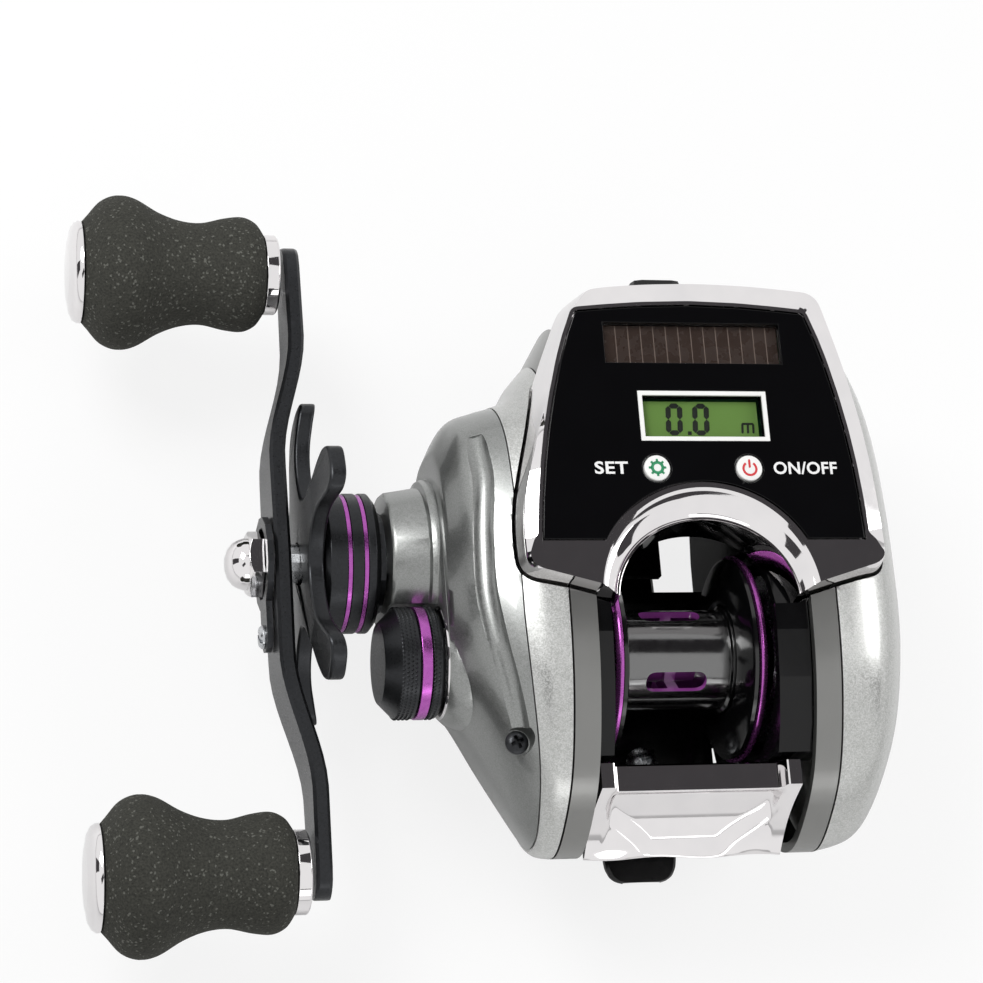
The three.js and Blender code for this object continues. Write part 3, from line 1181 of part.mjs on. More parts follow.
// The foot: a flat pad and two tongues, hollowed to the roundness of a rod and thinned to their tips.
function reelFoot() {
  const half = FOOT_LENGTH / 2;
  const w = FOOT_WIDTH / 2;
  const plan = FOOT_PLAN_SHARES.map(([along, across]) => [w * across, half * along]);
  const outline = [...plan, ...plan.toReversed().map(([x, y]) => [-x, y])];
  const full = [...outline, ...outline.slice(1, -1).toReversed().map(([x, y]) => [x, -y])];
  const body = extrudeZ(shapeOf(full), 0, FOOT_T);
  const side = [
    [FOOT_PAD, FOOT_T], [half + OVERRUN, FOOT_TIP_T], [half + OVERRUN, FOOT_T + OVERRUN],
    [FOOT_PAD, FOOT_T + OVERRUN],
  ];
  const tapers = [-1, 1].map((end) =>
    extrudeX(shapeOf(side.map(([y, z]) => [end * y, z])), -FOOT_WIDTH, FOOT_WIDTH));
  const rise = FOOT_HOLLOW_R - Math.sqrt(FOOT_HOLLOW_R ** 2 - w ** 2);
  const hollows = [-1, 1].map((end) => {
    const [y0, y1] = end > 0 ? [FOOT_PAD / 2, half + OVERRUN] : [-half - OVERRUN, -FOOT_PAD / 2];
    return rodY(y0, y1, FOOT_HOLLOW_R, 0, rise - FOOT_HOLLOW_R, 2 * FINE);
  });
  const holeR = FOOT_SCREW_R + GAP;
  const holes = FOOT_SCREWS_Y.map((y) => rodZ(-OVERRUN, FOOT_T + OVERRUN, holeR, FOOT_SCREW_X, y));
  return cut(body, ...tapers, ...hollows, ...holes);
}

function footScrew(y) {
  const top = FLOOR_Z + GAP + FOOT_SCREW_HEAD_T;
  return turnedZ([
    [GAP, FOOT_SCREW_R], [FLOOR_Z + GAP, FOOT_SCREW_R], [FLOOR_Z + GAP, FOOT_SCREW_HEAD_R],
    [top - GAP, FOOT_SCREW_HEAD_R], [top, FOOT_SCREW_HEAD_R - GAP],
  ], FOOT_SCREW_X, y, SMALL);
}

// The thumb bar: a dished lever between the rims, open underneath, with a cheek at each side.
function thumbBar() {
  const [x0, x1] = [WALL_LEFT + RUN - GAP, THUMB_RIGHT];
  const stations = THUMB_STATIONS_SHARES.map(([across, rise, dish]) =>
    THUMB_FACE_SHARES.map(([back, down, dished]) => new THREE.Vector3(
      THREE.MathUtils.lerp(x0, x1, across),
      THREE.MathUtils.lerp(THUMB_FRONT, THUMB_REAR, back) + THUMB_DISH * dish * dished,
      THREE.MathUtils.lerp(THUMB_TOP, THUMB_LOW, down) + THUMB_HORN * rise * (1 - down) ** 2,
    )));
  const hollow = THUMB_HOLLOW_SHARES.map(([back, down]) => [
    THREE.MathUtils.lerp(THUMB_FRONT, THUMB_REAR, back), THREE.MathUtils.lerp(THUMB_TOP, THUMB_LOW, down),
  ]);
  return cut(
    loft(stations),
    extrudeX(shapeOf(hollow), x0 + THUMB_CHEEK, x1 - THUMB_CHEEK),
  );
}


function finish(color, metalness, roughness) {
  return new THREE.MeshStandardMaterial({ color, metalness, roughness });
}

const GRAPHITE = finish(0x1b1c1f, 0.2, 0.45);
const GUNMETAL = finish(0x55585c, 0.8, 0.38);
const PALE_METAL = finish(0x8d9092, 0.85, 0.3);
const CHROME = finish(0xc9ccd0, 1, 0.12);
const GLOSS_BLACK = finish(0x0b0b0d, 0.1, 0.06);
const BLACK_METAL = finish(0x16171a, 0.7, 0.3);
const PURPLE = finish(0x9b45b5, 0.8, 0.3);
const STEEL = finish(0xb4b8bc, 1, 0.25);
const BRASS = finish(0xb8923c, 1, 0.3);
const CARBON = finish(0x26282b, 0.1, 0.6);
const FOAM = finish(0x3a3b36, 0, 0.9);
const CERAMIC = finish(0x202226, 0, 0.15);
const WHITE = finish(0xeeeeec, 0, 0.45);
const LCD = finish(0x9fb08c, 0, 0.3);
const SOLAR_BROWN = finish(0x3b2420, 0.2, 0.3);
const BOARD_GREEN = finish(0x1d4a2e, 0, 0.5);

const reel = new THREE.Group();
reel.name = "baitcasting_reel";
reel.add(
  piece("main_frame", mainFrame(), GRAPHITE),
  piece("reel_foot", reelFoot(), GRAPHITE),
  ...FOOT_SCREWS_Y.map((y, i) => piece(`foot_screw_${i + 1}`, footScrew(y), STEEL)),
  piece("rim_left", rim(RIM_LEFT_X, WALL_LEFT - GAP, RIM_LEFT_STATIONS_SHARES), GUNMETAL),
  piece("rim_right", rim(WALL_RIGHT + GAP, RIM_RIGHT_X, RIM_RIGHT_STATIONS_SHARES), GUNMETAL),
  piece("gear_side_plate", gearSidePlate(), GUNMETAL),
  piece("plate_screw", plateScrew(), BLACK_METAL),
  piece("palm_side_plate", palmSidePlate(), PALE_METAL),
  piece("brake_dial", brakeDial(), BLACK_METAL),
  piece("brake_housing", brakeHousing(), GRAPHITE),
  piece("magnet_ring", magnetRing(), STEEL),
  piece("thumb_bar", thumbBar(), CHROME),
);

// The cover and the counter.
reel.add(
  piece("top_hood", topHood(), CHROME),
  piece("display_lens", displayLens(), GLOSS_BLACK),
  piece("display_tray", displayTray(), GRAPHITE),
  piece("solar_cell", solarCell(), SOLAR_BROWN),
  piece("display_frame", displayFrame(), WHITE),
  piece("display_glass", displayGlass(), LCD),
  piece("circuit_board", circuitBoard(), BOARD_GREEN),
  piece("set_button", button(BUTTON.left), WHITE),
  piece("power_button", button(BUTTON.right), WHITE),
);

// The spool and what turns with it, and the clutch.
reel.add(
  piece("spool", spool(), GLOSS_BLACK),
  piece("spool_flange_left", spoolFlange(-1), GLOSS_BLACK),
  piece("spool_flange_right", spoolFlange(1), GLOSS_BLACK),
  piece("spool_rim_left", spoolRim(-1), PURPLE),
  piece("spool_rim_right", spoolRim(1), PURPLE),
  piece("spool_shaft", spoolShaft(), STEEL),
  piece("pinion_gear", pinionGear(), BRASS),
  piece("bearing_left", bearing(PLATE_LEFT_X + SHELL), STEEL),
  piece("bearing_right", bearing(HOUSING_X + HOUSING_WEB), STEEL),
  piece("clutch_yoke", clutchYoke(), GRAPHITE),
  piece("tension_knob", tensionKnob(), BLACK_METAL),
  piece("tension_band", tensionBand(), PURPLE),
);

// The level wind.
reel.add(
  piece("levelwind_drive_gear", gear(WIND_TEETH, 0, DRIVE_SHAFT_R + GAP, WIND_GEAR_X, WIND_GEAR_T,
    DRIVE_Y, DRIVE_Z), BRASS),
  piece("idler_gear", gear(IDLER_TEETH, IDLER_PHASE, IDLER_PIN_R + GAP, WIND_GEAR_X, WIND_GEAR_T,
    IDLER_Y, IDLER_Z), WHITE),
  piece("worm_gear", gear(WORM_TEETH, WORM_PHASE, WORM_JOURNAL_R + GAP, WIND_GEAR_X, WIND_GEAR_T,
    WORM_Y, WORM_Z), BRASS),
  piece("worm_shaft", wormShaft(), STEEL),
  piece("guide_rod", rodX(WALL_LEFT, WALL_RIGHT, GUIDE_ROD_R, WORM_Y, GUIDE_ROD_Z), STEEL),
  piece("line_guide", lineGuide(), GRAPHITE),
  piece("guide_eye", guideEye(), CERAMIC),
);

// The crank, with the drive gear, the drag and the knobs.
const DRAG_X = DRIVE_GEAR_X - GAP - DRAG.t;
const PRESSURE_X = DRAG_X - GAP - PRESSURE_T;
reel.add(
  piece("drive_shaft", driveShaft(), STEEL),
  piece("drive_gear", driveGear(), BRASS),
  piece("drag_washer", shaftRing(DRAG_X, DRAG.t, DRAG.r), CARBON),
  piece("pressure_plate", shaftRing(PRESSURE_X, PRESSURE_T, PRESSURE_R), STEEL),
  piece("clutch_bearing", tubeX(DRIVE_BOSS_X, DRIVE_BOSS_X + CLUTCH.w, DRIVE_SHAFT_R + GAP, CLUTCH.r,
    DRIVE_Y, DRIVE_Z), STEEL),
  piece("shaft_spacer", shaftRing(DRAG_KNOB_X + GAP, SPACER.t, SPACER.r), BLACK_METAL),
  piece("drag_barrel", dragBarrel(), BLACK_METAL),
  ...DRAG_LINES_X.map((x, i) => piece(`drag_line_${i + 1}`, dragLine(x), PURPLE)),
  piece("star_drag", starDrag(), BLACK_METAL),
  piece("handle_arm", handleArm(), BLACK_METAL),
  piece("handle_nut", handleNut(), CHROME),
  piece("nut_retainer", nutRetainer(), BLACK_METAL),
);
for (const [name, side] of [["front", 1], ["rear", -1]]) {
  const y = DRIVE_Y + side * ARM_HALF;
  reel.add(
    piece(`knob_collar_${name}`, knobCollar(y), CHROME),
    piece(`knob_grip_${name}`, knobGrip(y), FOAM),
    piece(`knob_cap_${name}`, knobCap(y), CHROME),
  );
}

export default reel;
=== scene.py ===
# A low-profile baitcasting reel with a solar-powered line counter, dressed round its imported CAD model.
import math

import bmesh
import bpy
from mathutils import Matrix, Vector


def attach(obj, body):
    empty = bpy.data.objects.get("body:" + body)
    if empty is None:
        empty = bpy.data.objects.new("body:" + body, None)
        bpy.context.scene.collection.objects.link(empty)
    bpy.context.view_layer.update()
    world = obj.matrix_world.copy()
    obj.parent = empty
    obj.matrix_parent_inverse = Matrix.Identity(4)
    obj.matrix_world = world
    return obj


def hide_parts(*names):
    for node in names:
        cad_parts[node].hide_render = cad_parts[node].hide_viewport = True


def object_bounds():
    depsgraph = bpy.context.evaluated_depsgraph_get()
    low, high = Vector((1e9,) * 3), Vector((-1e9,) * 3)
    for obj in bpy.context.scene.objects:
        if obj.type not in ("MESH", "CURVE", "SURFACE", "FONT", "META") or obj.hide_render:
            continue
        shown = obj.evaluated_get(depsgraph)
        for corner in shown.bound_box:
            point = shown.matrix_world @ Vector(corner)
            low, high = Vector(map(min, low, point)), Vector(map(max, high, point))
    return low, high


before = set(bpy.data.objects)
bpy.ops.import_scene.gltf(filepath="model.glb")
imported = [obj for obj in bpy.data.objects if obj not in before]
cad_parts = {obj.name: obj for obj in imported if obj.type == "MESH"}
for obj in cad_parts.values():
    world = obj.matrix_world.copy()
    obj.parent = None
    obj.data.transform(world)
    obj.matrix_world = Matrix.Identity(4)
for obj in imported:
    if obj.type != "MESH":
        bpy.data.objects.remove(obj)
cad_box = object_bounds()

MM = 0.001


# The studio. A pale floor lies just under the reel, soft lamps stand round it, and dark cards out of
# the camera's sight give the chrome and the gloss panel something to mirror. None is part of the reel.
def placed(name, data):
    """Puts a new object into the scene."""
    made = bpy.data.objects.new(name, data)
    bpy.context.collection.objects.link(made)
    return made


def feed(socket, value):
    """Gives a node's socket another node's output, or a plain value."""
    if isinstance(value, bpy.types.NodeSocket):
        socket.id_data.links.new(value, socket)
    else:
        socket.default_value = value


def wired(tree, kind, sockets=None, output=0, **settings):
    """Adds a node to a tree and feeds its sockets. Gives the output that the next node needs."""
    made = tree.nodes.new(kind)
    for key, value in settings.items():
        setattr(made, key, value)
    for key, value in (sockets or {}).items():
        feed(made.inputs[key], value)
    return made.outputs[output] if made.outputs else None


class Finish:
    """A material: its shader, and the nodes that give its surface a pattern."""

    def __init__(self, name, **constants):
        self.material = bpy.data.materials.new(name)
        self.material.use_nodes = True
        self.tree = self.material.node_tree
        self.shader = self.tree.nodes["Principled BSDF"]
        self.place = self.node("ShaderNodeTexCoord", output="Object")
        self.set(**constants)

    def node(self, kind, sockets=None, output=0, **settings):
        return wired(self.tree, kind, sockets, output, **settings)

    def set(self, **sockets):
        for key, value in sockets.items():
            feed(self.shader.inputs[key.replace("_", " ").title().replace("Ior", "IOR")], value)

    def math(self, operation, *numbers):
        return self.node("ShaderNodeMath", dict(enumerate(numbers)), operation=operation)

    def mix(self, share, first, second):
        return self.node("ShaderNodeMix", {0: share, 6: first, 7: second}, 2, data_type="RGBA")

    def noise(self, size_mm, detail=2, stretch=(1, 1, 1)):
        place = self.node("ShaderNodeMapping", {"Vector": self.place, "Scale": stretch})
        scale = 1 / (size_mm * MM)
        return self.node("ShaderNodeTexNoise", {"Vector": place, "Scale": scale, "Detail": detail})

    def cells(self, size_mm, output="Color"):
        return self.node("ShaderNodeTexVoronoi", {"Vector": self.place, "Scale": 1 / (size_mm * MM)}, output)

    def spread(self, value, low, high):
        """A noise or a flake's shade as a number from low to high."""
        return self.node("ShaderNodeMapRange", {0: value, 1: 0.3, 2: 0.7, 3: low, 4: high})

    def bump(self, height, depth_mm):
        sockets = {"Height": height, "Distance": depth_mm * MM, "Strength": 1}
        self.set(normal=self.node("ShaderNodeBump", sockets))


def colour(code):
    """A written colour, such as 7f8286, as the shader's own numbers."""
    parts = [int(code[i:i + 2], 16) / 255 for i in (0, 2, 4)]
    return (*[p / 12.92 if p <= 0.04045 else ((p + 0.055) / 1.055) ** 2.4 for p in parts], 1)


def staged(name, corners, finish):
    """A flat rectangle that belongs to the studio."""
    mesh = bpy.data.meshes.new(name)
    mesh.from_pydata([Vector(p) * MM for p in corners], [], [(0, 1, 2, 3)])
    mesh.materials.append(finish.material)
    made = placed(name, mesh)
    return made


camera_data = bpy.data.cameras.new("camera")
camera_data.sensor_width, camera_data.lens = 36, 109.868
camera_data.clip_start, camera_data.clip_end = 0.01, 10
camera = placed("camera", camera_data)
scene = bpy.context.scene
scene.camera = camera
scene.view_settings.view_transform = "Standard"
CAMERA_YAW, CAMERA_PITCH = math.radians(13), math.radians(71.5)
(yaw_sin, yaw_cos), (pitch_sin, pitch_cos) = [(math.sin(a), math.cos(a)) for a in (CAMERA_YAW, CAMERA_PITCH)]
camera_back = Vector((-yaw_sin, -yaw_cos * pitch_cos, yaw_cos * pitch_sin))
camera_right = Vector((yaw_cos, -yaw_sin * pitch_cos, yaw_sin * pitch_sin))
camera_up = camera_back.cross(camera_right)
CAMERA_AIM, CAMERA_AWAY, CAMERA_LEFT, CAMERA_RISE = (1.3, 0, 25), 484, 29, 27.2
camera_place = (Vector(CAMERA_AIM) + CAMERA_AWAY * camera_back - CAMERA_LEFT * camera_right
                + CAMERA_RISE * camera_up)
camera.matrix_world = Matrix.Translation(camera_place * MM) @ Matrix(
    (camera_right, camera_up, camera_back)).transposed().to_4x4()

FLOOR_GLOW = 0.82
floor = Finish("studio_floor", base_color=colour("f4f4f4"), roughness=0.9, specular_ior_level=0)
floor_light = floor.node("ShaderNodeLightPath", output="Is Camera Ray")
floor_bright = floor.node("ShaderNodeEmission", {"Color": colour("ffffff"), "Strength": 1})
floor_blend = floor.node("ShaderNodeMixShader", {
    0: floor.math("MULTIPLY", floor_light, FLOOR_GLOW), 1: floor.shader.outputs[0], 2: floor_bright})
feed(floor.tree.nodes["Material Output"].inputs[0], floor_blend)
FLOOR_DROP = 0.2
FLOOR_REACH = 900
floor_level = cad_box[0].z / MM - FLOOR_DROP
staged("studio_floor", [(x * FLOOR_REACH, y * FLOOR_REACH, floor_level)
                        for x, y in ((-1, -1), (1, -1), (1, 1), (-1, 1))], floor)

# The white surroundings are half as bright where neither the camera nor a mirror sees them.
scene.world = bpy.data.worlds.new("studio")
scene.world.use_nodes = True
sky = scene.world.node_tree
path = wired(sky, "ShaderNodeLightPath", output="Is Camera Ray").node.outputs
seen = wired(sky, "ShaderNodeMath", {0: path["Is Camera Ray"], 1: path["Is Glossy Ray"]}, operation="MAXIMUM")
backdrop = sky.nodes["Background"].inputs
feed(backdrop["Strength"], wired(sky, "ShaderNodeMapRange", {"Value": seen, "To Min": 0.5, "To Max": 1}))
feed(backdrop["Color"], colour("ffffff"))

LAMP_AIM, CARD_AIM = (0, 10, 20), (0, 10, 40)
for name, place, size, power in (
        ("key_lamp", (-250, 190, 400), (200, 200), 1.3), ("fill_lamp", (330, 60, 300), (160, 220), 0.45),
        ("rear_lamp", (40, -380, 160), (320, 120), 0.2)):
    light = bpy.data.lights.new(name, "AREA")
    light.energy = power
    light.shape = "RECTANGLE"
    light.size, light.size_y = [side * MM for side in size]
    holder = placed(name, light)
    holder.location = Vector(place) * MM
    holder.rotation_euler = (Vector(LAMP_AIM) - Vector(place)).to_track_quat("-Z", "Y").to_euler()

card_finish = Finish("studio_card", base_color=colour("000000"), roughness=1, specular_ior_level=0,
                     emission_color=colour("464446"), emission_strength=1)
# Each card faces the reel, and is given by its middle and its half sides.
for name, place, across, up in (
        ("card_overhead", (170, 205, 620), 230, 145), ("card_left", (-420, 60, 150), 60, 130),
        ("card_rear_left", (-230, -120, 440), 50, 100), ("card_right", (360, -60, 290), 50, 140),
        ("card_rear", (60, -420, 230), 120, 40)):
    middle = Vector(place)
    way = (Vector(CARD_AIM) - middle).normalized()
    side = way.cross(Vector((0, 0, 1))).normalized()
    a, b = across * side, up * side.cross(way)
    card = staged(name, [middle - a - b, middle + a - b, middle + a + b, middle - a + b], card_finish)
    card.visible_camera = card.visible_diffuse = card.visible_shadow = False


# The reel foot is a pressed aluminium plate, painted gloss black, whose two hollowed tongues slide
# under the hoods of a rod's reel seat. Two steel screws hold it to the frame from above.
def shown(name, mesh, finish, body, slot, *nodes, sharp=32):
    """Puts a finished mesh, made in millimetres, into the scene as a piece of the reel."""
    mesh.name = name
    mesh.transform(Matrix.Scale(MM, 4))
    if sharp:
        mesh.shade_smooth()
        mesh.set_sharp_from_angle(angle=math.radians(sharp))
        mesh = settled(mesh, ("WEIGHTED_NORMAL", {"keep_sharp": True, "weight": 60}))
        mesh.name = name
    mesh.materials.clear()
    mesh.materials.append(finish.material)
    made = placed(name, mesh)
    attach(made, body)
    if nodes:
        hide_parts(*nodes)


def carried(finish, *nodes):
    """Gives CAD nodes whose shape is right their finish."""
    for node in nodes:
        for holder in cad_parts[node].material_slots:
            holder.material = finish.material


def meshed(points, faces):
    mesh = bpy.data.meshes.new("part")
    mesh.from_pydata(points, [], faces)
    shape = bmesh.new()
    shape.from_mesh(mesh)
    bmesh.ops.remove_doubles(shape, verts=shape.verts, dist=1e-4)
    bmesh.ops.dissolve_degenerate(shape, edges=shape.edges, dist=1e-5)
    bmesh.ops.recalc_face_normals(shape, faces=shape.faces)
    shape.to_mesh(mesh)
    shape.free()
    return mesh


def lofted(rings, closed=False):
    """A skin over rings of equally many points: closed into a ring, or with a flat face at each end."""
    count = len(rings[0])
    points = [p for ring in rings for p in ring]
    pairs = list(zip(range(len(rings)), list(range(1, len(rings))) + [0]))
    faces = [
        (a * count + k, a * count + (k + 1) % count, b * count + (k + 1) % count, b * count + k)
        for a, b in (pairs if closed else pairs[:-1]) for k in range(count)]
    if not closed:
        faces += [tuple(range(count)), tuple(range(len(points) - count, len(points)))]
    return meshed(points, faces)


def settled(mesh, *modifiers):
    """The mesh, or a letter's curve as a mesh, after its modifiers: each a type and its settings."""
    holder = placed("work", mesh)
    for kind, settings in modifiers:
        modifier = holder.modifiers.new(kind, kind)
        for key, value in settings.items():
            if hasattr(modifier, key):
                setattr(modifier, key, value)
            else:
                modifier[key] = value
    bpy.context.view_layer.update()
    done = bpy.data.meshes.new_from_object(holder.evaluated_get(bpy.context.evaluated_depsgraph_get()))
    bpy.data.objects.remove(holder)
    return done


def bevelled(mesh, width, segments=2, angle=30):
    return settled(mesh, ("BEVEL", {
        "width": width, "segments": segments, "limit_method": "ANGLE",
        "angle_limit": math.radians(angle), "use_clamp_overlap": True}))


def combined(mesh, operation, *others):
    """Joins other meshes to one, cuts them out of it, or keeps what they share."""
    holders = [placed("tool", other) for other in others]
    done = settled(mesh, *[
        ("BOOLEAN", {"operation": operation, "object": holder, "solver": "EXACT"}) for holder in holders])
    for holder in holders:
        bpy.data.objects.remove(holder)
    return done


def cut(mesh, *others):
    return combined(mesh, "DIFFERENCE", *others)


def extruded(outline, low, high, axis="Z"):
    """An outline raised along Z, or one of pairs of Y and Z raised along X."""
    return lofted([[(c, a, b) if axis == "X" else (a, b, c) for a, b in outline] for c in (low, high)])


def round_about(count):
    """So many directions round a circle, each as its cosine and sine."""
    return [(math.cos(math.tau * k / count), math.sin(math.tau * k / count)) for k in range(count)]


def turned(profile, axis="X", centre=(0, 0), sides=96):
    """A turned shape: pairs of place along the axis and radius, closed on themselves unless they start
    and end on the axis."""
    place = {
        "X": lambda along, a, b: (along, centre[0] + a, centre[1] + b),
        "Y": lambda along, a, b: (centre[0] + b, along, centre[1] + a),
        "Z": lambda along, a, b: (centre[0] + a, centre[1] + b, along)}[axis]
    return lofted([[place(along, r * cosine, r * sine) for along, r in profile]
                   for cosine, sine in round_about(sides)], closed=True)


def tube(low, high, inner, outer, **where):
    """A plain ring between two places on its axis, or a cylinder if its inner radius is 0."""
    return turned([(low, inner), (low, outer), (high, outer), (high, inner)], **where)


def block(x0, x1, y0, y1, z0, z1):
    return extruded([(x0, y0), (x1, y0), (x1, y1), (x0, y1)], z0, z1)


def smooth_through(points, steps, closed=True):
    """A curve through points, as a closed or an open run, with so many steps between neighbours."""
    count = len(points)
    curve = []
    for i in range(count if closed else count - 1):
        p, q, r, s = [Vector(points[(i + k) % count if closed else min(max(i + k, 0), count - 1)])
                      for k in (-1, 0, 1, 2)]
        for k in range(steps):
            t = k / steps
            curve.append(0.5 * ((2 * q) + (r - p) * t + (2 * p - 5 * q + 4 * r - s) * t ** 2
                                + (3 * q - p - 3 * r + s) * t ** 3))
    if not closed:
        curve.append(Vector(points[-1]))
    return [tuple(p) for p in curve]


def rounded(points, radius, steps=6):
    """Rounds every corner of an outline."""
    outline = []
    for i, corner in enumerate(points):
        corner = Vector(corner)
        ends = []
        for other in (points[i - 1], points[(i + 1) % len(points)]):
            way = Vector(other) - corner
            ends.append(corner + way.normalized() * min(radius, way.length / 2))
        for k in range(steps + 1):
            t = k / steps
            outline.append(tuple(ends[0] * (1 - t) ** 2 + corner * (2 * t * (1 - t)) + ends[1] * t ** 2))
    return outline


def mottled(name, size_mm, dark, light, shine=None, **constants):
    """A finish whose shade wavers between two. The shine gives the size of the patches in which its
    roughness wavers, and the roughness at its two ends."""
    made = Finish(name, **constants)
    made.set(base_color=made.mix(made.noise(size_mm), colour(dark), colour(light)))
    if shine:
        patch_mm, smooth, rough = shine
        made.set(roughness=made.spread(made.noise(patch_mm), smooth, rough))
    return made


black_gloss = mottled("gloss_black_paint", 3, "060607", "0b0b0c", (6, 0.1, 0.2), specular_ior_level=0.3)
steel = mottled("bright_steel", 1.5, "b4b6b9", "c9cbcd", metallic=1)
steel.set(roughness=steel.spread(steel.noise(0.4, stretch=(8, 1, 1)), 0.16, 0.34))

FOOT_HALF = 31.5
FOOT_HALF_WIDTH = 6.35
FOOT_PLAN = [(-1, 0.5), (-0.985, 0.72), (-0.95, 0.88), (-0.87, 0.97), (-0.6, 1), (0, 1), (0.6, 1),
             (0.87, 0.97), (0.95, 0.88), (0.985, 0.72), (1, 0.5)]
foot_rings = []
for along, across in smooth_through(FOOT_PLAN, 10, closed=False):
    half = FOOT_HALF_WIDTH * across
    y = FOOT_HALF * max(-1, min(1, along))
    # The tongues thin toward their tips, and are hollowed from below.
    top = 2.6 - 1.2 * max(0, (abs(y) - 18) / 14)
    hollow = max(0, min(1, (abs(y) - 9) / 2))
    arc = [half - 2 * half * k / 12 for k in range(13)]
    foot_rings.append(
        [(-half, y, 0.25), (-half, y, top - 0.5), (-half + 0.5, y, top), (half - 0.5, y, top),
         (half, y, top - 0.5), (half, y, 0.25)]
        + [(x, y, hollow * (1.16 * (1 - (x / 6.4) ** 2) * 0.98)) for x in arc])
shown("reel_foot_plate", lofted(foot_rings), black_gloss, "frame", "graphite", "reel_foot", sharp=40)


RECESS_TURN = 0.4


def screw_head(centre, seat, top, radius, shank):
    """A pan head with a cross recess, on a short shank."""
    rise = top - seat
    head = turned([(seat - shank, 0), (seat - shank, radius * 0.55), (seat, radius * 0.55), (seat, radius),
                   (seat + rise * 0.35, radius), (seat + rise * 0.75, radius * 0.82),
                   (top, radius * 0.5), (top, 0)], axis="Z", centre=centre, sides=48)
    a, b = 0.62 * radius, 0.16 * radius
    arms = []
    for turn in (RECESS_TURN, RECESS_TURN + math.pi / 2):
        arm = lofted([[(x * s, y * s, z) for x, y in ((-a, -b), (a, -b), (a, b), (-a, b))]
                      for z, s in ((top - 0.8 * rise, 0.6), (top + 0.1, 1))])
        arm.transform(Matrix.Translation((*centre, 0)) @ Matrix.Rotation(turn, 4, "Z"))
        arms.append(arm)
    return cut(head, *arms)


for number, y in enumerate((-12.4, 10.4), 1):
    shown(f"foot_screw_head_{number}", screw_head((0.6, y), 4.9, 6.5, 2.7, 4.5), steel, "frame", "steel",
          f"foot_screw_{number}")
carried(black_gloss, "main_frame")


# The spool is turned from aluminium and anodised gloss black. Rounded slots lighten its thin drum, and
# their cut faces and the two rims are anodised purple.
SPOOL_AXIS = (0, 25)
DRIVE_AXIS = (18.2165, 19.6)

flange_black = mottled("gloss_black_flange", 1, "060607", "0a0a0b", (1.2, 0.1, 0.17), specular_ior_level=0.6)
spool_black = Finish("gloss_black_drum", ior=2.5)
spool_place = spool_black.node("ShaderNodeSeparateXYZ", {0: spool_black.place}).node.outputs
spool_y, spool_z = spool_place["Y"], spool_black.math("SUBTRACT", spool_place["Z"], SPOOL_AXIS[1] * MM)
squares = [spool_black.math("MULTIPLY", away, away) for away in (spool_y, spool_z)]
from_axis = spool_black.math("ADD", *squares)
CUT_RADIUS = 7.93
inside_drum = spool_black.math("LESS_THAN", from_axis, (CUT_RADIUS * MM) ** 2)
spool_black.set(base_color=spool_black.mix(inside_drum, colour("060607"), colour("a04aa4")))
spool_black.set(roughness=spool_black.spread(spool_black.noise(1.2), 0.1, 0.17))

purple = mottled("purple_anodised_aluminium", 0.8, "a04ca2", "bb68bb", (0.3, 0.18, 0.32), metallic=0.9)

DRUM = [(-10.9, 6.9), (-10.9, 8.6), (-9.2, 8.6), (-8.9, 8), (8.9, 8), (9.2, 8.6), (10.9, 8.6), (10.9, 6.9),
        (0.9, 6.9), (0.9, 3.4), (4.5, 3.4), (4.5, 1.9), (-4.5, 1.9), (-4.5, 3.4), (-0.9, 3.4), (-0.9, 6.9)]
SLOT_TURN = 41.3
slot_outline = rounded([(-5, -1.7), (5, -1.7), (5, 1.7), (-5, 1.7)], 1.7)
slots = []
for number in range(4):
    slot = extruded(slot_outline, 4.2, 9)
    slot.transform(Matrix.Rotation(math.radians(SLOT_TURN + 90 * number), 4, "X"))
    slot.transform(Matrix.Translation((0, *SPOOL_AXIS)))
    slots.append(slot)
drum = bevelled(cut(turned(DRUM, centre=SPOOL_AXIS), *slots), 0.18, angle=40)
shown("spool_drum", drum, spool_black, "spool", "black_spool", "spool")
FLANGE = [(10.9, 8.9), (10.9, 16.2), (10.3, 16.2), (10, 15.6), (9.4, 12.6), (9.2, 10), (9.5, 9.3), (9.6, 8.9)]
RIM = [(11.2, 14.8), (12.3, 14.8), (12.3, 16.2), (11.9, 16.65), (11.5, 16.8), (11.2, 16.75)]
for name, side in (("left", -1), ("right", 1)):
    for part, profile, finish, slot in (("flange", FLANGE, flange_black, "black_spool"),
                                        ("rim", RIM, purple, "purple")):
        shape = turned([(x * side, r) for x, r in profile], centre=SPOOL_AXIS, sides=128)
        shown(f"spool_{part}_{name}_turned", shape, finish, "spool", slot, f"spool_{part}_{name}")
carried(steel, "spool_shaft", "bearing_left", "bearing_right", "magnet_ring", "clutch_bearing",
        "pressure_plate", "drive_shaft")


# The thumb bar is a chromed moulding between the frame's walls, pushed down to free the spool. It has
# a flat ledge behind the spool, a scooped face for the thumb, and two horns that guide it.
chrome = mottled("polished_chrome", 5, "dcdadb", "e9e6e6", (2.5, 0.03, 0.07), metallic=1)

THUMB_LEFT, THUMB_RIGHT = -15.4, 17
THUMB_FRONT, THUMB_REAR = -19.2, -31.8
THUMB_LOW, THUMB_HIGH = 22.4, 35
THUMB_PROFILE = [(0, 1), (0, 0.08), (0.04, 0), (0.35, 0), (0.365, 0.025), (0.5, 0.31), (0.66, 0.57),
                 (0.84, 0.79), (0.96, 0.92), (0.99, 0.955), (1, 0.975), (0.985, 1)]
SCOOP_DEPTH = 1.7
HORN_HEIGHT = 2.5


def eased(low, high, value):
    """0 under low, 1 over high, and a smooth step between them."""
    share = min(1, max(0, (value - low) / (high - low)))
    return share * share * (3 - 2 * share)


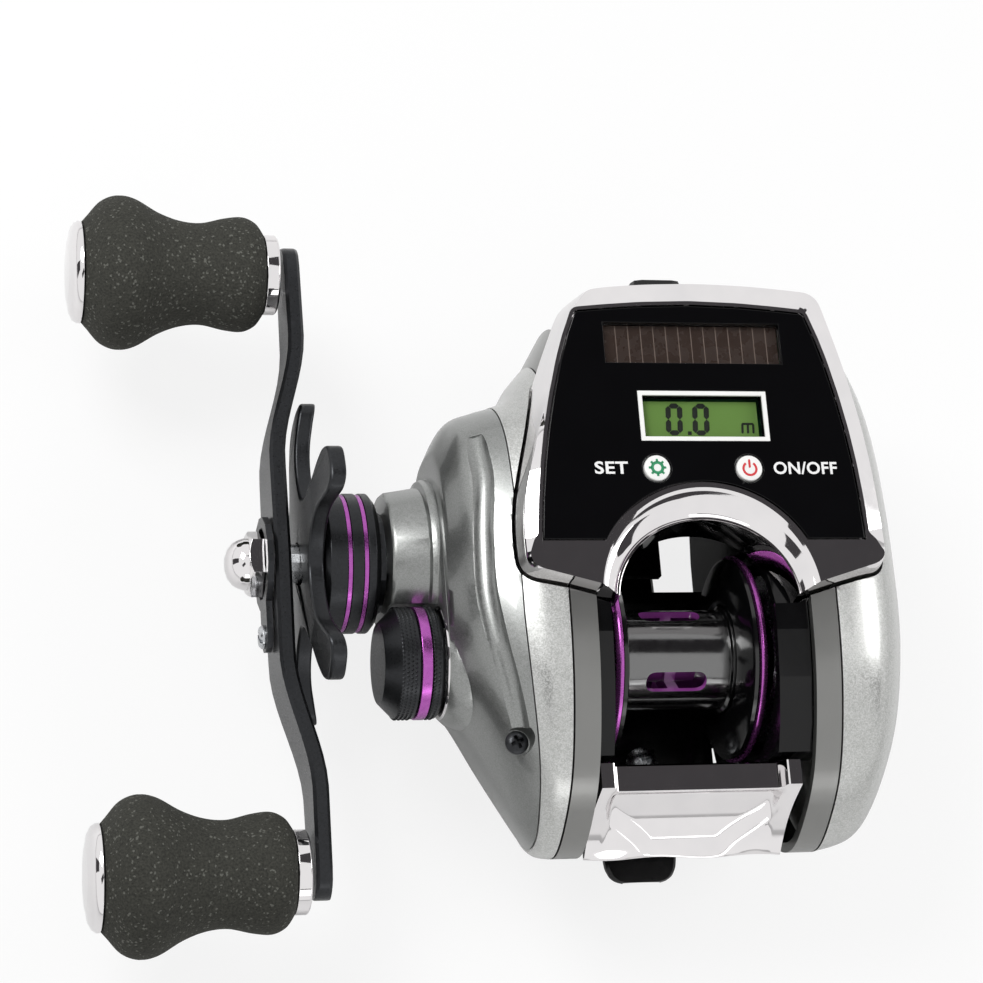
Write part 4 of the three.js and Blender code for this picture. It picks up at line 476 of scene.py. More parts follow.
def thumb_place(back, down):
    """A place in the bar's section, given as shares of its depth and of its height."""
    return THUMB_FRONT + (THUMB_REAR - THUMB_FRONT) * back, THUMB_HIGH + (THUMB_LOW - THUMB_HIGH) * down


def thumb_ring(across):
    """The bar's section at a share of its width: ledge, scooped face and rounded lower edge."""
    edge = abs(across - 0.5) * 2
    horn = eased(0.8, 0.87, edge)
    ring = []
    for back, down in THUMB_PROFILE[:5] + smooth_through(THUMB_PROFILE[4:], 8, closed=False)[1:]:
        width = 0.88 - 0.5 * eased(0.35, 1, down)
        scoop = (eased(0.35, 0.48, back) * (1 - eased(0.9, 1, back))
                 * (1 - eased(width - 0.12, width + 0.04, edge)))
        wave = 0.018 * math.cos(math.tau * (across - 0.62) / 0.5) * eased(0.85, 1, down)
        y, z = thumb_place(back + wave, down)
        ring.append((THUMB_LEFT + (THUMB_RIGHT - THUMB_LEFT) * across, y + SCOOP_DEPTH * scoop,
                     z + HORN_HEIGHT * horn * (1 - down) ** 2))
    return ring


thumb = lofted([thumb_ring(k / 160) for k in range(161)])
THUMB_WALL = 1.7
THUMB_HOLLOW = [(0.12, 1.1), (0.12, 0.2), (0.18, 0.2), (0.3, 0.5), (0.5, 0.78), (0.72, 1.1)]
thumb_hollow = extruded([thumb_place(*p) for p in THUMB_HOLLOW], THUMB_LEFT + THUMB_WALL,
                        THUMB_RIGHT - THUMB_WALL, "X")
thumb = cut(thumb, thumb_hollow)
shown("chromed_thumb_bar", thumb, chrome, "thumb_lever", "chrome", "thumb_bar", sharp=40)


# The gears, washers and the worm stand inside. The gears are cut from brass, the idler is moulded
# nylon, the drag washer is woven carbon, and the clutch yoke is a dark moulding. The line guide has
# a glazed ceramic eye, and a black pan closes the frame's floor under the spool.
brass = mottled("cut_brass", 0.8, "a98238", "c9a455", (0.3, 0.22, 0.4), metallic=1)
nylon = mottled("white_nylon", 2, "e6e4de", "f2f1ec", subsurface_weight=0.1, roughness=0.45)
carbon = Finish("woven_carbon", coat_weight=0.3)
weave = carbon.node("ShaderNodeTexChecker", {"Vector": carbon.place, "Scale": 900}, "Fac")
carbon.set(base_color=carbon.mix(weave, colour("1a1b1d"), colour("34363a")),
           roughness=carbon.spread(weave, 0.35, 0.6))
carried(brass, "drive_gear", "pinion_gear", "levelwind_drive_gear", "worm_gear")
carried(nylon, "idler_gear")
carried(carbon, "drag_washer")
carried(black_gloss, "clutch_yoke", "brake_housing", "display_tray", "line_guide")
carried(steel, "worm_shaft", "guide_rod")
ceramic = mottled("glazed_ceramic", 1, "dcd9d2", "e8e6e0", (0.6, 0.12, 0.2), coat_weight=0.4)
eye = turned([(63, 2.3), (63, 3), (65.1, 3), (65.25, 2.8), (65.25, 2.5), (65, 2.25)], axis="Y",
             centre=(4, 23.3))
shown("line_eye", eye, ceramic, "guide", "ceramic", "guide_eye")
pan = extruded(rounded([(3, -26), (13.2, -26), (13.2, -3), (3, -3)], 1.5), 3.9, 4.6)
shown("spool_well_pan", bevelled(pan, 0.2), black_gloss, "frame", "graphite")


# The two smooth rims are moulded with the side plates' edges and painted plain gunmetal. They close
# the joint between the frame and each plate, and stop under the cover.
BODY_SIDE = [(0, 0.5), (0.035, 0.68), (0.11, 0.85), (0.23, 0.955), (0.36, 1), (0.52, 1), (0.7, 0.975),
             (0.86, 0.9), (0.965, 0.74), (1, 0.52), (0.975, 0.32), (0.87, 0.14), (0.7, 0.03), (0.5, 0),
             (0.3, 0.04), (0.14, 0.14), (0.03, 0.32)]
body_side = smooth_through([(-31.2 + 88.2 * u, 0.6 + 44.4 * v) for u, v in BODY_SIDE], 8)


def ways(outline):
    """Each corner of a closed outline, with the direction that leads to it and the one away from it."""
    for i, p in enumerate(outline):
        before = Vector(p) - Vector(outline[i - 1])
        after = Vector(outline[(i + 1) % len(outline)]) - Vector(p)
        yield p, before.normalized(), after.normalized()


def shrunk(outline, inset):
    """An outline that runs clockwise, moved inward."""
    moved = []
    for p, before, after in ways(outline):
        way = (before + after).normalized()
        moved.append((p[0] + inset * way.y, p[1] - inset * way.x))
    return moved


def cover_outline(grow, belly=1.9):
    """The cover's outline from above, before the arch is cut out of its rear edge. The belly is how
    far its crank side swells outward over the gearbox; toward the front it draws in as much."""
    corners = [(-16.6 + 41 * s, 55 + 1.4 * math.sin(math.pi * s)) for s in (0.15, 0.3, 0.5, 0.7, 0.85, 1)]
    corners.insert(0, (-16.6 + 1.1 * belly, 55))
    sides = [k / 8 for k in range(1, 8)]
    corners += [(24.4 + 7 * s + 1.8 * math.sin(math.pi * s), 55 - 45.5 * s) for s in sides]
    corners += [(31.4, 9.5), (16.7, 5), (-12.3, 5), (-25.6 - 0.6 * belly, 9.5 - 0.3 * belly)]
    corners += [(-16.6 - 9 * s - 1.8 * math.sin(math.pi * s) - belly * math.sin(
        math.pi * max(0, s - 0.42) / 0.8) ** 2 + 1.1 * belly * max(0, 1 - 2 * s) ** 1.3, 55 - 45.5 * s)
                for s in reversed(sides)]
    outline = []
    for p, before, after in ways(corners):
        one, two = Vector((-before.y, before.x)), Vector((-after.y, after.x))
        reach = grow / (1 + one.dot(two))
        outline.append(tuple(Vector(p) + reach * (one + two)))
    return rounded(outline, max(0.3, 2.5 + grow), 8)


def cover_rings(grow, low, high, stations):
    """The cover's outline at each station: its share of the height, and how far the side flares there."""
    return [[(x, y, low + (high - low) * rise) for x, y in cover_outline(grow + 1.6 * flare)]
            for rise, flare in stations]


ROOM_STATIONS = [(0, 1), (0.55, 0.5), (0.9, 0.1), (1, -0.2)]
cover_room = lofted(cover_rings(0.3, 37.2, 49, ROOM_STATIONS))

gunmetal_smooth = mottled("smooth_gunmetal_paint", 6, "7c7c7a", "828280", (9, 0.3, 0.36),
                          metallic=0.85, coat_weight=0.4, coat_roughness=0.1)


def curve_at(points, x):
    """The line through points in the plane, read at x."""
    for (x0, y0), (x1, y1) in zip(points, points[1:]):
        if x0 <= x <= x1 or x1 <= x <= x0:
            return y0 + (y1 - y0) * (x - x0) / (x1 - x0)
    return points[-1][1]


def domed(outline, shares, root, end, centre, low, high, count):
    """A stretch of a domed plate. Each station says how far out it is, and what is left there of the
    outline's reach to the front, to the rear and in height. Low and high are its ends along X, each a
    number or a function of Y."""
    curve = smooth_through(shares, 8, closed=False) if len(shares) > 2 else shares
    reach = [[(station[0], station[k]) for station in curve] for k in (1, 2, 3)]
    rings = []
    for k in range(count + 1):
        ring = []
        for y, z in outline:
            start, stop = [edge(y) if callable(edge) else edge for edge in (low, high)]
            x = start + (stop - start) * k / count
            front, rear, height = [curve_at(run, (x - root) / (end - root)) for run in reach]
            ring.append((x, centre[0] + (y - centre[0]) * (front if y > centre[0] else rear),
                         centre[1] + (z - centre[1]) * height))
        rings.append(ring)
    return lofted(rings)


PLATE_MIDDLE = (12, 21)
RIM_WALL = 1.6
LEFT_RIM = [(0, 0.83, 1, 1), (1, 0.985, 1, 1)]
RIGHT_RIM = [(0, 1, 1, 1), (1, 1, 1, 1)]
for name, x0, x1, shares in (("left", -20, -15.9, LEFT_RIM), ("right", 18.9, 23, RIGHT_RIM)):
    edge = domed(body_side, shares, x0, x1, PLATE_MIDDLE, x0, x1, 4)
    hole = domed(shrunk(body_side, RIM_WALL), shares, x0, x1, PLATE_MIDDLE, x0 - 1, x1 + 1, 6)
    ring = cut(edge, hole, cover_room)
    shown(f"smooth_rim_{name}", bevelled(ring, 0.3, 3, angle=40), gunmetal_smooth, "frame", "gunmetal",
          f"rim_{name}", sharp=30)


# The crank side plate is cast and painted in dark flake. A pale flaked band runs round its edge, and
# outboard of that it domes in to the gearbox, with a tapered boss for the drive shaft.
def flaked(name, dark, light, size_mm, share):
    """Metallic paint: each flake has its own shade and shine, in a clear coat."""
    paint = Finish(name, metallic=0.9, coat_weight=0.6, coat_roughness=0.05)
    flake = paint.node("ShaderNodeSeparateColor", {0: paint.cells(size_mm)})
    base = paint.mix(paint.noise(7), colour(dark), colour(light))
    paint.set(base_color=paint.mix(paint.math("MULTIPLY", flake, share), base, colour("ffffff")))
    paint.set(roughness=paint.spread(flake, 0.28, 0.4))
    return paint


anodised = mottled("black_anodised_aluminium", 0.5, "2b2c2d", "36373a", metallic=0.85, specular_ior_level=0.5)
anodised.set(roughness=anodised.spread(anodised.noise(0.25, detail=4), 0.26, 0.4))
anodised.bump(anodised.noise(0.12), 0.004)
pale_flake = flaked("pale_flake_paint", "a2a3a0", "a9aaa7", 0.16, 0.3)
dark_flake = flaked("dark_flake_paint", "7b7d7b", "848684", 0.14, 0.1)

LEFT_DOME = [(0, 0.83, 1, 1), (0.16, 0.76, 0.985, 0.985), (0.28, 0.69, 0.92, 0.97), (0.58, 0.656, 0.71, 0.9),
             (0.82, 0.62, 0.53, 0.8), (1, 0.5, 0.44, 0.62)]


def left_edge(y):
    """Where the pale band ends: nearer the rim toward the rear."""
    return -27.2 + 3.4 * min(1, max(0, (2 - y) / 32)) ** 1.5


LEFT_ROOT, LEFT_END = -20.3, -37
pale_band = domed(body_side, LEFT_DOME, LEFT_ROOT, LEFT_END, PLATE_MIDDLE, LEFT_ROOT,
                  lambda y: left_edge(y) + 0.15, 8)
pale_band = cut(bevelled(pale_band, 0.25, angle=50), cover_room)
shown("pale_flake_band_left", pale_band, pale_flake, "frame", "gunmetal", "gear_side_plate")

shell = domed(shrunk(body_side, 0.15), LEFT_DOME, LEFT_ROOT, LEFT_END, PLATE_MIDDLE, left_edge, LEFT_END, 18)
plateau_ring = []
for way in map(Vector, round_about(64)):
    near = max((Vector(DRIVE_AXIS) + 14.2 * way, Vector(SPOOL_AXIS) + 9.6 * way), key=lambda p: p.dot(way))
    plateau_ring.append(near)
plateau = lofted([
    [(x, 9.5 + (p.x - 9.5) * share, 22 + (p.y - 22) * share) for p in plateau_ring]
    for x, share in ((-30, 1.1), (-34.6, 1.06), (-36.2, 1.02), (-37.1, 0.97), (-37.5, 0.9))])
boss = turned([(-34, 0), (-34, 13.5), (-37.8, 13.5), (-38.4, 13.2), (-38.6, 12.7), (-38.7, 12.2),
               (-43.8, 11.4), (-44.4, 10.9), (-44.4, 0)], centre=DRIVE_AXIS)
cap_room = tube(-54, -37.1, 0, 9.5, centre=SPOOL_AXIS)
spigot = tube(-44.5, -36, 1.9, 6.6, centre=SPOOL_AXIS)
bore = tube(-45, -30, 0, 4.3, centre=DRIVE_AXIS)
PLATE_SCREW = (-28.1, -15.9)
seat = turned([(35.6, 0), (35.6, 2.2), (36.4, 2.3), (46, 2.5), (46, 0)], axis="Z", centre=PLATE_SCREW,
              sides=48)
FURROW = [(-31.6, 34, 38), (-31.5, 30, 39.3), (-31.3, 25.4, 40.6), (-31.8, 20.2, 41.15), (-32.2, 15.3, 41.3),
          (-32.3, 7.2, 41.3), (-31.1, -0.8, 41), (-29.7, -6.9, 39.9), (-28.6, -12, 38.4), (-27.9, -16, 36.6)]
# The furrow is cut with a round bar, laid along it and sunk by its depth.
FURROW_RADIUS, FURROW_DEPTH, FURROW_CENTRE = 2.3, 0.9, (-16, 11, 14)
run = smooth_through(FURROW, 5, closed=False)
rings = []
for k, p in enumerate(run):
    p, before, after = Vector(p), Vector(run[max(k - 1, 0)]), Vector(run[min(k + 1, len(run) - 1)])
    ahead = (after - before).normalized()
    out = p - Vector(FURROW_CENTRE)
    out = (out - ahead * out.dot(ahead)).normalized()
    side = ahead.cross(out)
    middle = p + out * (FURROW_RADIUS - FURROW_DEPTH)
    rings.append([tuple(middle + FURROW_RADIUS * (side * cosine + out * sine))
                  for cosine, sine in round_about(32)])
furrow = lofted(rings)
shell = combined(shell, "UNION", plateau, boss)
shell = cut(shell, cover_room, cap_room, bore, seat, furrow)
shell = bevelled(shell, 0.35, 3, angle=38)
shown("gear_side_shell", shell, dark_flake, "frame", "gunmetal")
shown("cast_control_spigot", spigot, steel, "frame", "steel")
shown("plate_screw_head", screw_head(PLATE_SCREW, 36, 37.1, 1.85, 0.1), anodised, "frame", "black_metal",
      "plate_screw")


# The palm side plate is a smooth domed casting in pale flake paint, with the same band at its edge.
# The brake dial, a black moulding, turns in a round recess in its outer face.
RIGHT_DOME = [(0, 1, 1, 1), (0.42, 0.965, 0.95, 0.965), (0.7, 0.84, 0.8, 0.84), (0.9, 0.63, 0.57, 0.62),
              (1, 0.38, 0.36, 0.38)]
RIGHT_ROOT, RIGHT_END = 23.3, 38
DIAL_AXIS = (10, 23)
palm = domed(body_side, RIGHT_DOME, RIGHT_ROOT, RIGHT_END, DIAL_AXIS, RIGHT_ROOT, RIGHT_END, 22)
dial_room = tube(35.2, 39.5, 0, 7.7, centre=DIAL_AXIS)
palm = cut(palm, cover_room, dial_room)
shown("palm_side_shell", bevelled(palm, 0.3, 3, angle=45), pale_flake, "frame", "pale_metal",
      "palm_side_plate")
carried(black_gloss, "brake_dial")


# The top cover is one moulding, chromed all over. It bridges both side plates, its rear edge arches
# round the front of the spool, and its deep rear corners come down to the rims.
COVER_LOW, COVER_TOP = 37.5, 48
COVER_STATIONS = [(0, 1), (0.28, 0.76), (0.55, 0.5), (0.74, 0.28), (0.85, 0.14), (0.9, 0.06), (0.925, 0)]


def lens_plan(grow):
    """The lens's outline from above, before the arch. It lies off the middle of the cover."""
    return [(x - 1.2, y - 0.6 - 1.4 * eased(45, 54, y)) for x, y in cover_outline(grow - 2.2, belly=0)]


top_ring = []
for (x, y), (lens_x, lens_y) in zip(cover_outline(-0.25), lens_plan(0.9)):
    share = eased(10.5, 15, y)
    top_ring.append((x + (lens_x - x) * share, y + (lens_y - y) * share, COVER_TOP))
cover = lofted(cover_rings(0, COVER_LOW, COVER_TOP, COVER_STATIONS) + [top_ring])
ARCH_CENTRE = (2.2, 4)
ARCH_LIP = [(30, 14.5, 12.9), (44.6, 14.5, 12.9), (45.6, 14.75, 13.2), (46.4, 15.3, 13.8), (47.1, 16.2, 14.9),
            (47.6, 16.9, 16.2), (48, 17.7, 17.7), (50, 19.5, 19.5)]
arch = lofted([[(ARCH_CENTRE[0] + across * cosine, ARCH_CENTRE[1] + deep * sine, z)
                for cosine, sine in round_about(160)]
               for z, across, deep in smooth_through(ARCH_LIP, 3, closed=False)])
hollow = lofted(cover_rings(-1.5, 36.5, 45.6, ROOM_STATIONS))
arch_wall = turned([(30, 0), (30, 16), (44.6, 16), (48, 19.7), (50, 21), (50, 0)], axis="Z",
                   centre=ARCH_CENTRE, sides=160)
spool_room = tube(-13.3, 13.3, 0, 17.3, centre=SPOOL_AXIS, sides=128)
housing_room = tube(0, 23.3, 0, 17.3, centre=SPOOL_AXIS, sides=128)


def lens_slab(grow, low, high):
    """What fills the cover's window: it follows the cover's outline, the rear edge and the arch."""
    rear = block(-40, 40, -20, 13.3 - grow, low - 1, high + 1)
    bow = tube(low - 1, high + 1, 0, 18.8 - grow, axis="Z", centre=ARCH_CENTRE, sides=192)
    return cut(extruded(lens_plan(grow), low, high), rear, bow)


hollow = cut(hollow, arch_wall)
cover = cut(cover, hollow, arch, spool_room, housing_room, lens_slab(0.3, 46.5, 50), lens_slab(-0.8, 44, 48))
cover = bevelled(cover, 0.3, 3, angle=28)
shown("chromed_cover", cover, chrome, "frame", "chrome", "top_hood", sharp=13)


# The counter sits in a sealed tray under a flush gloss-black lens: a solar cell, a liquid crystal
# display in a white frame, and the board. The lens is clear over the cell and over the display.
SOLAR = (-11.9, 17.3, 42.5, 49.3)
DISPLAY_WINDOW = (-7.2, 14, 29.4, 37.8)
DISPLAY_OPENING = (-6.45, 13.25, 30.15, 37.05)
SET_X, POWER_X, KEY_Y = -5.1, 10, 24.85
panel_black = mottled("gloss_black_lens", 8, "050506", "08080a", (14, 0.04, 0.08), specular_ior_level=0.35)
clear = mottled("clear_window", 9, "050606", "0a0b0b", alpha=0.08, roughness=0.04, ior=1.49)

lens = lens_slab(0, 46.8, COVER_TOP)
windows = [block(x0, x1, y0, y1, 40, 50) for x0, x1, y0, y1 in (SOLAR, DISPLAY_WINDOW)]
key_holes = [tube(40, 50, 0, 2.4, axis="Z", centre=(x, KEY_Y)) for x in (SET_X, POWER_X)]
lens = bevelled(cut(lens, *windows, *key_holes), 0.1, angle=50)
shown("black_lens", lens, panel_black, "frame", "black_lens", "display_lens")
SLIT = 0.01
for name, (x0, x1, y0, y1), top in (("solar", SOLAR, 47.98), ("display", DISPLAY_OPENING, 47.7)):
    pane = bevelled(block(x0 + SLIT, x1 - SLIT, y0 + SLIT, y1 - SLIT, 47, top), 0.05, 1)
    shown(f"{name}_window", pane, clear, "frame", "black_lens")


def repeated(part, finish, count, step=(0, 0, 0), turn=(0, 0, 0), centre=(0, 0, 0)):
    """A row of copies of a part. Each lies one step on from the last, and has one more turn about
    the centre."""
    tree = bpy.data.node_groups.new("row_of_copies", "GeometryNodeTree")
    sizes = {}
    tree.interface.new_socket("Part", in_out="INPUT", socket_type="NodeSocketGeometry")
    for name, kind, value in (("Count", "Int", count), ("Step", "Vector", step), ("Turn", "Vector", turn),
                              ("Centre", "Vector", centre), ("Finish", "Material", finish.material)):
        made = tree.interface.new_socket(name, in_out="INPUT", socket_type=f"NodeSocket{kind}")
        sizes[made.identifier] = value
    tree.interface.new_socket("Row", in_out="OUTPUT", socket_type="NodeSocketGeometry")
    given = tree.nodes.new("NodeGroupInput").outputs

    back = wired(tree, "ShaderNodeVectorMath", {0: given["Centre"], "Scale": -1}, operation="SCALE")
    centred = wired(tree, "GeometryNodeTransform", {"Geometry": given["Part"], "Translation": back})
    places = wired(tree, "GeometryNodeMeshLine", {
        "Count": given["Count"], "Start Location": given["Centre"], "Offset": given["Step"]})
    number = wired(tree, "GeometryNodeInputIndex")
    turned_by = wired(tree, "ShaderNodeVectorMath", {0: given["Turn"], "Scale": number}, operation="SCALE")
    copies = wired(tree, "GeometryNodeInstanceOnPoints", {
        "Points": places, "Instance": centred, "Rotation": turned_by})
    whole = wired(tree, "GeometryNodeRealizeInstances", {"Geometry": copies})
    row = wired(tree, "GeometryNodeSetMaterial", {"Geometry": whole, "Material": given["Finish"]})
    wired(tree, "NodeGroupOutput", {"Row": row})
    return settled(part, ("NODES", {"node_group": tree, **sizes}))


# The solar cell is a strip of amorphous silicon on glass: brown cells side by side, parted by thin
# silver lines. It and the display are glued to the back of the lens.
cell_brown = mottled("brown_solar_cell", 5, "382c27", "40332d", (2, 0.2, 0.35))
cell_line = mottled("silver_print", 1, "74655d", "85756c", (1, 0.4, 0.6), metallic=0.4)
carried(cell_brown, "solar_cell")
CELL_PITCH = 2.08
line = block(-9.6, -9.45, 42.6, 49.2, 46.5, 46.56)
lines = repeated(line, cell_line, 13, step=(CELL_PITCH, 0, 0))
shown("solar_cell_lines", lines, cell_line, "frame", "solar", sharp=0)

white_moulding = mottled("white_moulding", 3, "e9e9e7", "f6f6f4", roughness=0.35)
green_glass = mottled("green_display", 10, "6b9145", "739a4c", roughness=0.3)
segment_black = mottled("display_segment", 2, "0c120a", "141c10", roughness=0.4)
x0, x1, y0, y1 = DISPLAY_WINDOW
outer = (x0 + SLIT, x1 - SLIT, y0 + SLIT, y1 - SLIT)
surround = cut(block(*outer, 47.5, 47.96), block(*DISPLAY_OPENING, 47, 48.5))
shown("display_surround", bevelled(surround, 0.08), white_moulding, "frame", "white", "display_frame")
# Under the white frame a black ring lines the display's recess. Its black inner walls are painted shade: the
# dark line that shade draws just inside the frame.
painted_shade_liner = cut(block(*outer, 46.3, 47.45), block(*DISPLAY_OPENING, 46, 48.5))
shown("display_painted_shade_liner", painted_shade_liner, panel_black, "frame", "black_lens")
carried(green_glass, "display_glass")
board_green = Finish("circuit_board_green", roughness=0.4)
board_green.set(base_color=board_green.mix(board_green.cells(1.1), colour("0d4a2a"), colour("14603a")))
carried(board_green, "circuit_board")

# The display reads 0.0 and, smaller, m. Each digit is built of straight segments, and leans a little.
DIGIT_WIDTH, DIGIT_HEIGHT, DIGIT_STROKE, DIGIT_LEAN = 1.9, 4.5, 0.85, 0.06


def bar(x0, y0, x1, y1, width):
    """A straight stroke with pointed ends, as display segments have."""
    a, b = Vector((x0, y0)), Vector((x1, y1))
    way = (b - a).normalized()
    side = Vector((-way.y, way.x)) * width / 2
    nib = way * width / 2
    return [a, a + nib + side, b - nib + side, b, b - nib - side, a + nib - side]


def printed(strokes, low, high, place, lean=0):
    """Flat strokes of a print or a display, as one mesh."""
    points, faces = [], []
    for stroke in strokes:
        start, count = len(points), len(stroke)
        points += [(place[0] + x + lean * y, place[1] + y, z) for z in (low, high) for x, y in stroke]
        faces += [tuple(range(start, start + count)), tuple(range(start + count, start + 2 * count))]
        faces += [(start + k, start + (k + 1) % count, start + count + (k + 1) % count, start + count + k)
                  for k in range(count)]
    return meshed(points, faces)


half = DIGIT_HEIGHT / 2
zero = [bar(x, y, x, y + half, DIGIT_STROKE) for x in (0, DIGIT_WIDTH) for y in (0, half)]
zero += [bar(0.1, y, DIGIT_WIDTH - 0.1, y, DIGIT_STROKE) for y in (0, DIGIT_HEIGHT)]
point = [[(-0.3, -0.3), (0.3, -0.3), (0.3, 0.3), (-0.3, 0.3)]]
UNIT_STROKE = 0.36
unit = [bar(x, -0.2, x, 1.5, UNIT_STROKE) for x in (0, 0.9, 1.8)] + [bar(-0.15, 1.45, 1.9, 1.45, UNIT_STROKE)]
for name, strokes, place in (("tens", zero, (-2.1, 31.35)), ("point", point, (1.35, 31.3)),
                             ("ones", zero, (2.3, 31.35)), ("unit", unit, (10.1, 31.45))):
    shown(f"display_{name}", printed(strokes, 46.2, 46.26, place, DIGIT_LEAN), segment_black, "frame", "lcd",
          sharp=0)

# The labels are printed in white on the lens, and each key is a white button with a printed sign: a
# green cog for setting and a red power sign.
white_print = mottled("white_print", 1, "e4e4e4", "f2f2f2", roughness=0.5)
green_print = mottled("green_print", 1, "1f7f52", "2a8f60", roughness=0.5)
red_print = mottled("red_print", 1, "c52f34", "d43c40", roughness=0.5)
LABEL_Y, LABEL_HEIGHT, LABEL_LEVEL = 23.95, 1.95, 48.02
for name, word, x, width in (("set", "SET", -15.2, 5.4), ("power", "ON/OFF", 14, 10.5)):
    curve = bpy.data.curves.new(word, "FONT")
    curve.body = word
    curve.size = LABEL_HEIGHT / 0.7
    curve.offset, curve.extrude = 0.06, 0.02
    curve.space_character, curve.resolution_u = 1.05, 4
    label = settled(curve)
    left, right = min(v.co.x for v in label.vertices), max(v.co.x for v in label.vertices)
    label.transform(Matrix.Translation((x, LABEL_Y, LABEL_LEVEL))
                    @ Matrix.Diagonal((width / (right - left), 1, 1, 1)) @ Matrix.Translation((-left, 0, 0)))
    shown(f"{name}_label", label, white_print, "frame", "white", sharp=0)


def ring_strokes(inner, outer, start=0, end=360):
    """A ring, or a part of one, in 36 strokes."""
    strokes = []
    for k in range(36):
        a, b = [math.radians(start + (end - start) * (k + s) / 36) for s in (0, 1)]
        strokes.append([(r * math.cos(t), r * math.sin(t)) for r, t in (
            (inner, a), (outer, a), (outer, b), (inner, b))])
    return strokes


KEY_TOP = 48.24
INK = 0.04
SIGN = (KEY_TOP, KEY_TOP + INK)
for key, x in (("set", SET_X), ("power", POWER_X)):
    profile = [(46, 0), (46, 2.6), (46.5, 2.6), (46.5, 2.1), (48.02, 2.1), (48.16, 2.04), (KEY_TOP, 1.9),
               (KEY_TOP, 0)]
    key_cap = turned(profile, axis="Z", centre=(x, KEY_Y), sides=72)
    shown(f"{key}_button_cap", key_cap, white_moulding, f"{key}_key", "white", f"{key}_button")
tooth = printed([[(-0.2, 1.0), (0.2, 1.0), (0.16, 1.42), (-0.16, 1.42)]], *SIGN, (SET_X, KEY_Y))
teeth = repeated(tooth, green_print, 8, turn=(0, 0, math.pi / 4), centre=(SET_X, KEY_Y, 0))
shown("cog_teeth", teeth, green_print, "set_key", "white", sharp=0)
cog = printed(ring_strokes(0.62, 1.08), *SIGN, (SET_X, KEY_Y))
shown("cog_ring", cog, green_print, "set_key", "white", sharp=0)
power = ring_strokes(0.88, 1.24, 125, 415) + [bar(0, 0.1, 0, 1.6, 0.34)]
power = printed(power, *SIGN, (POWER_X, KEY_Y - 0.15))
shown("power_sign", power, red_print, "power_key", "white", sharp=0)


# The crank side turns on the drive shaft. The drag barrel and its star are turned and milled
# aluminium, anodised black, and the barrel has two thin grooves anodised purple.
PURPLE_LINES = (-48.6, -51.2)
BARREL_RADIUS = 11.3
BARREL = [(-46.1, 3.5), (-46.1, 10.2), (-47.0, BARREL_RADIUS)]
for x in PURPLE_LINES:
    BARREL += [(x + 0.4, BARREL_RADIUS), (x + 0.4, 10.6), (x - 0.4, 10.6), (x - 0.4, BARREL_RADIUS)]
BARREL += [(-54.3, BARREL_RADIUS), (-55.1, 10.5), (-55.1, 3.5)]
barrel = bevelled(turned(BARREL, centre=DRIVE_AXIS, sides=128), 0.12)
shown("drag_star_barrel", barrel, anodised, "star", "black_metal", "drag_barrel")
for number, x in enumerate(PURPLE_LINES, 1):
    ring = tube(x - 0.3, x + 0.3, 10.55, 11.12, centre=DRIVE_AXIS, sides=128)
    shown(f"purple_line_{number}", ring, purple, "star", "purple", f"drag_line_{number}")

# Five arms: each leaves the hub narrow, swells to a paddle and bends toward the body at its tip.
STAR_ARMS, STAR_REACH, STAR_OUT, STAR_THICK = 5, 27, -58, 2.6
STAR_TURN = -1.5
ARM_SIDE = [(0.36, 0.2), (0.5, 0.135), (0.68, 0.115), (0.82, 0.14), (0.92, 0.15), (0.985, 0.1), (1, 0)]
star_outline = []
for arm in range(STAR_ARMS):
    middle = math.tau * arm / STAR_ARMS + math.radians(STAR_TURN)
    for reach, width in ARM_SIDE + [(r, -w) for r, w in reversed(ARM_SIDE[:-1])]:
        turn = middle - math.atan2(width, reach)
        r = math.hypot(reach, width) * STAR_REACH
        star_outline.append((r * math.cos(turn), r * math.sin(turn)))
star_outline = smooth_through(star_outline, 4)
star = lofted([[(STAR_OUT + STAR_THICK * k / 6, a, b) for a, b in star_outline] for k in range(7)])
star = bevelled(star, 0.45, 3, angle=50)
TIP_BEND = 1.6
for vertex in star.vertices:
    out = max(0, math.hypot(vertex.co.y, vertex.co.z) / STAR_REACH - 0.55) / 0.45
    vertex.co.x += TIP_BEND * out ** 2
star.transform(Matrix.Translation((0, *DRIVE_AXIS)))
star = cut(star, tube(-60, -52, 0, 3.5, centre=DRIVE_AXIS))
shown("drag_star", star, anodised, "star", "black_metal", "star_drag")

# The handle is a pressed plate of black anodised aluminium with bevelled edges, held by an acorn nut
# of chromed steel. A small clip, screwed to the plate, keeps the nut from turning.
KNOB_REACH = 50
HANDLE_OUT, HANDLE_THICK, HANDLE_BEND, HANDLE_EDGE = -62.5, 2.6, 4.3, 0.5
HUB_WIDTH, TIP_WIDTH, TIP_RADIUS = 14, 9, 4.5
tip = [50, 52, 53, 53.8, 54.3, 54.45]
handle_rings = []
for y in [-y for y in reversed(tip)] + [-50 + 2.5 * k for k in range(1, 40)] + tip:
    along = abs(y)
    half = (HUB_WIDTH + (TIP_WIDTH - HUB_WIDTH) * min(1, along / KNOB_REACH)) / 2
    half *= math.sqrt(max(0.0004, 1 - (max(0, along - KNOB_REACH) / TIP_RADIUS) ** 2))
    out = HANDLE_OUT + HANDLE_BEND * eased(16, 38, along)
    back = out + HANDLE_THICK
    edge = min(HANDLE_EDGE, half / 2)
    handle_rings.append([(x, DRIVE_AXIS[0] + y, DRIVE_AXIS[1] + z) for x, z in (
        (back, half - edge), (back - edge, half), (out + edge, half), (out, half - edge),
        (out, edge - half), (out + edge, -half), (back - edge, -half), (back, edge - half))])
handle = cut(lofted(handle_rings), tube(-64, -58, 0, 3.5, centre=DRIVE_AXIS))
shown("crank_handle", handle, anodised, "crank", "black_metal", "handle_arm", sharp=25)

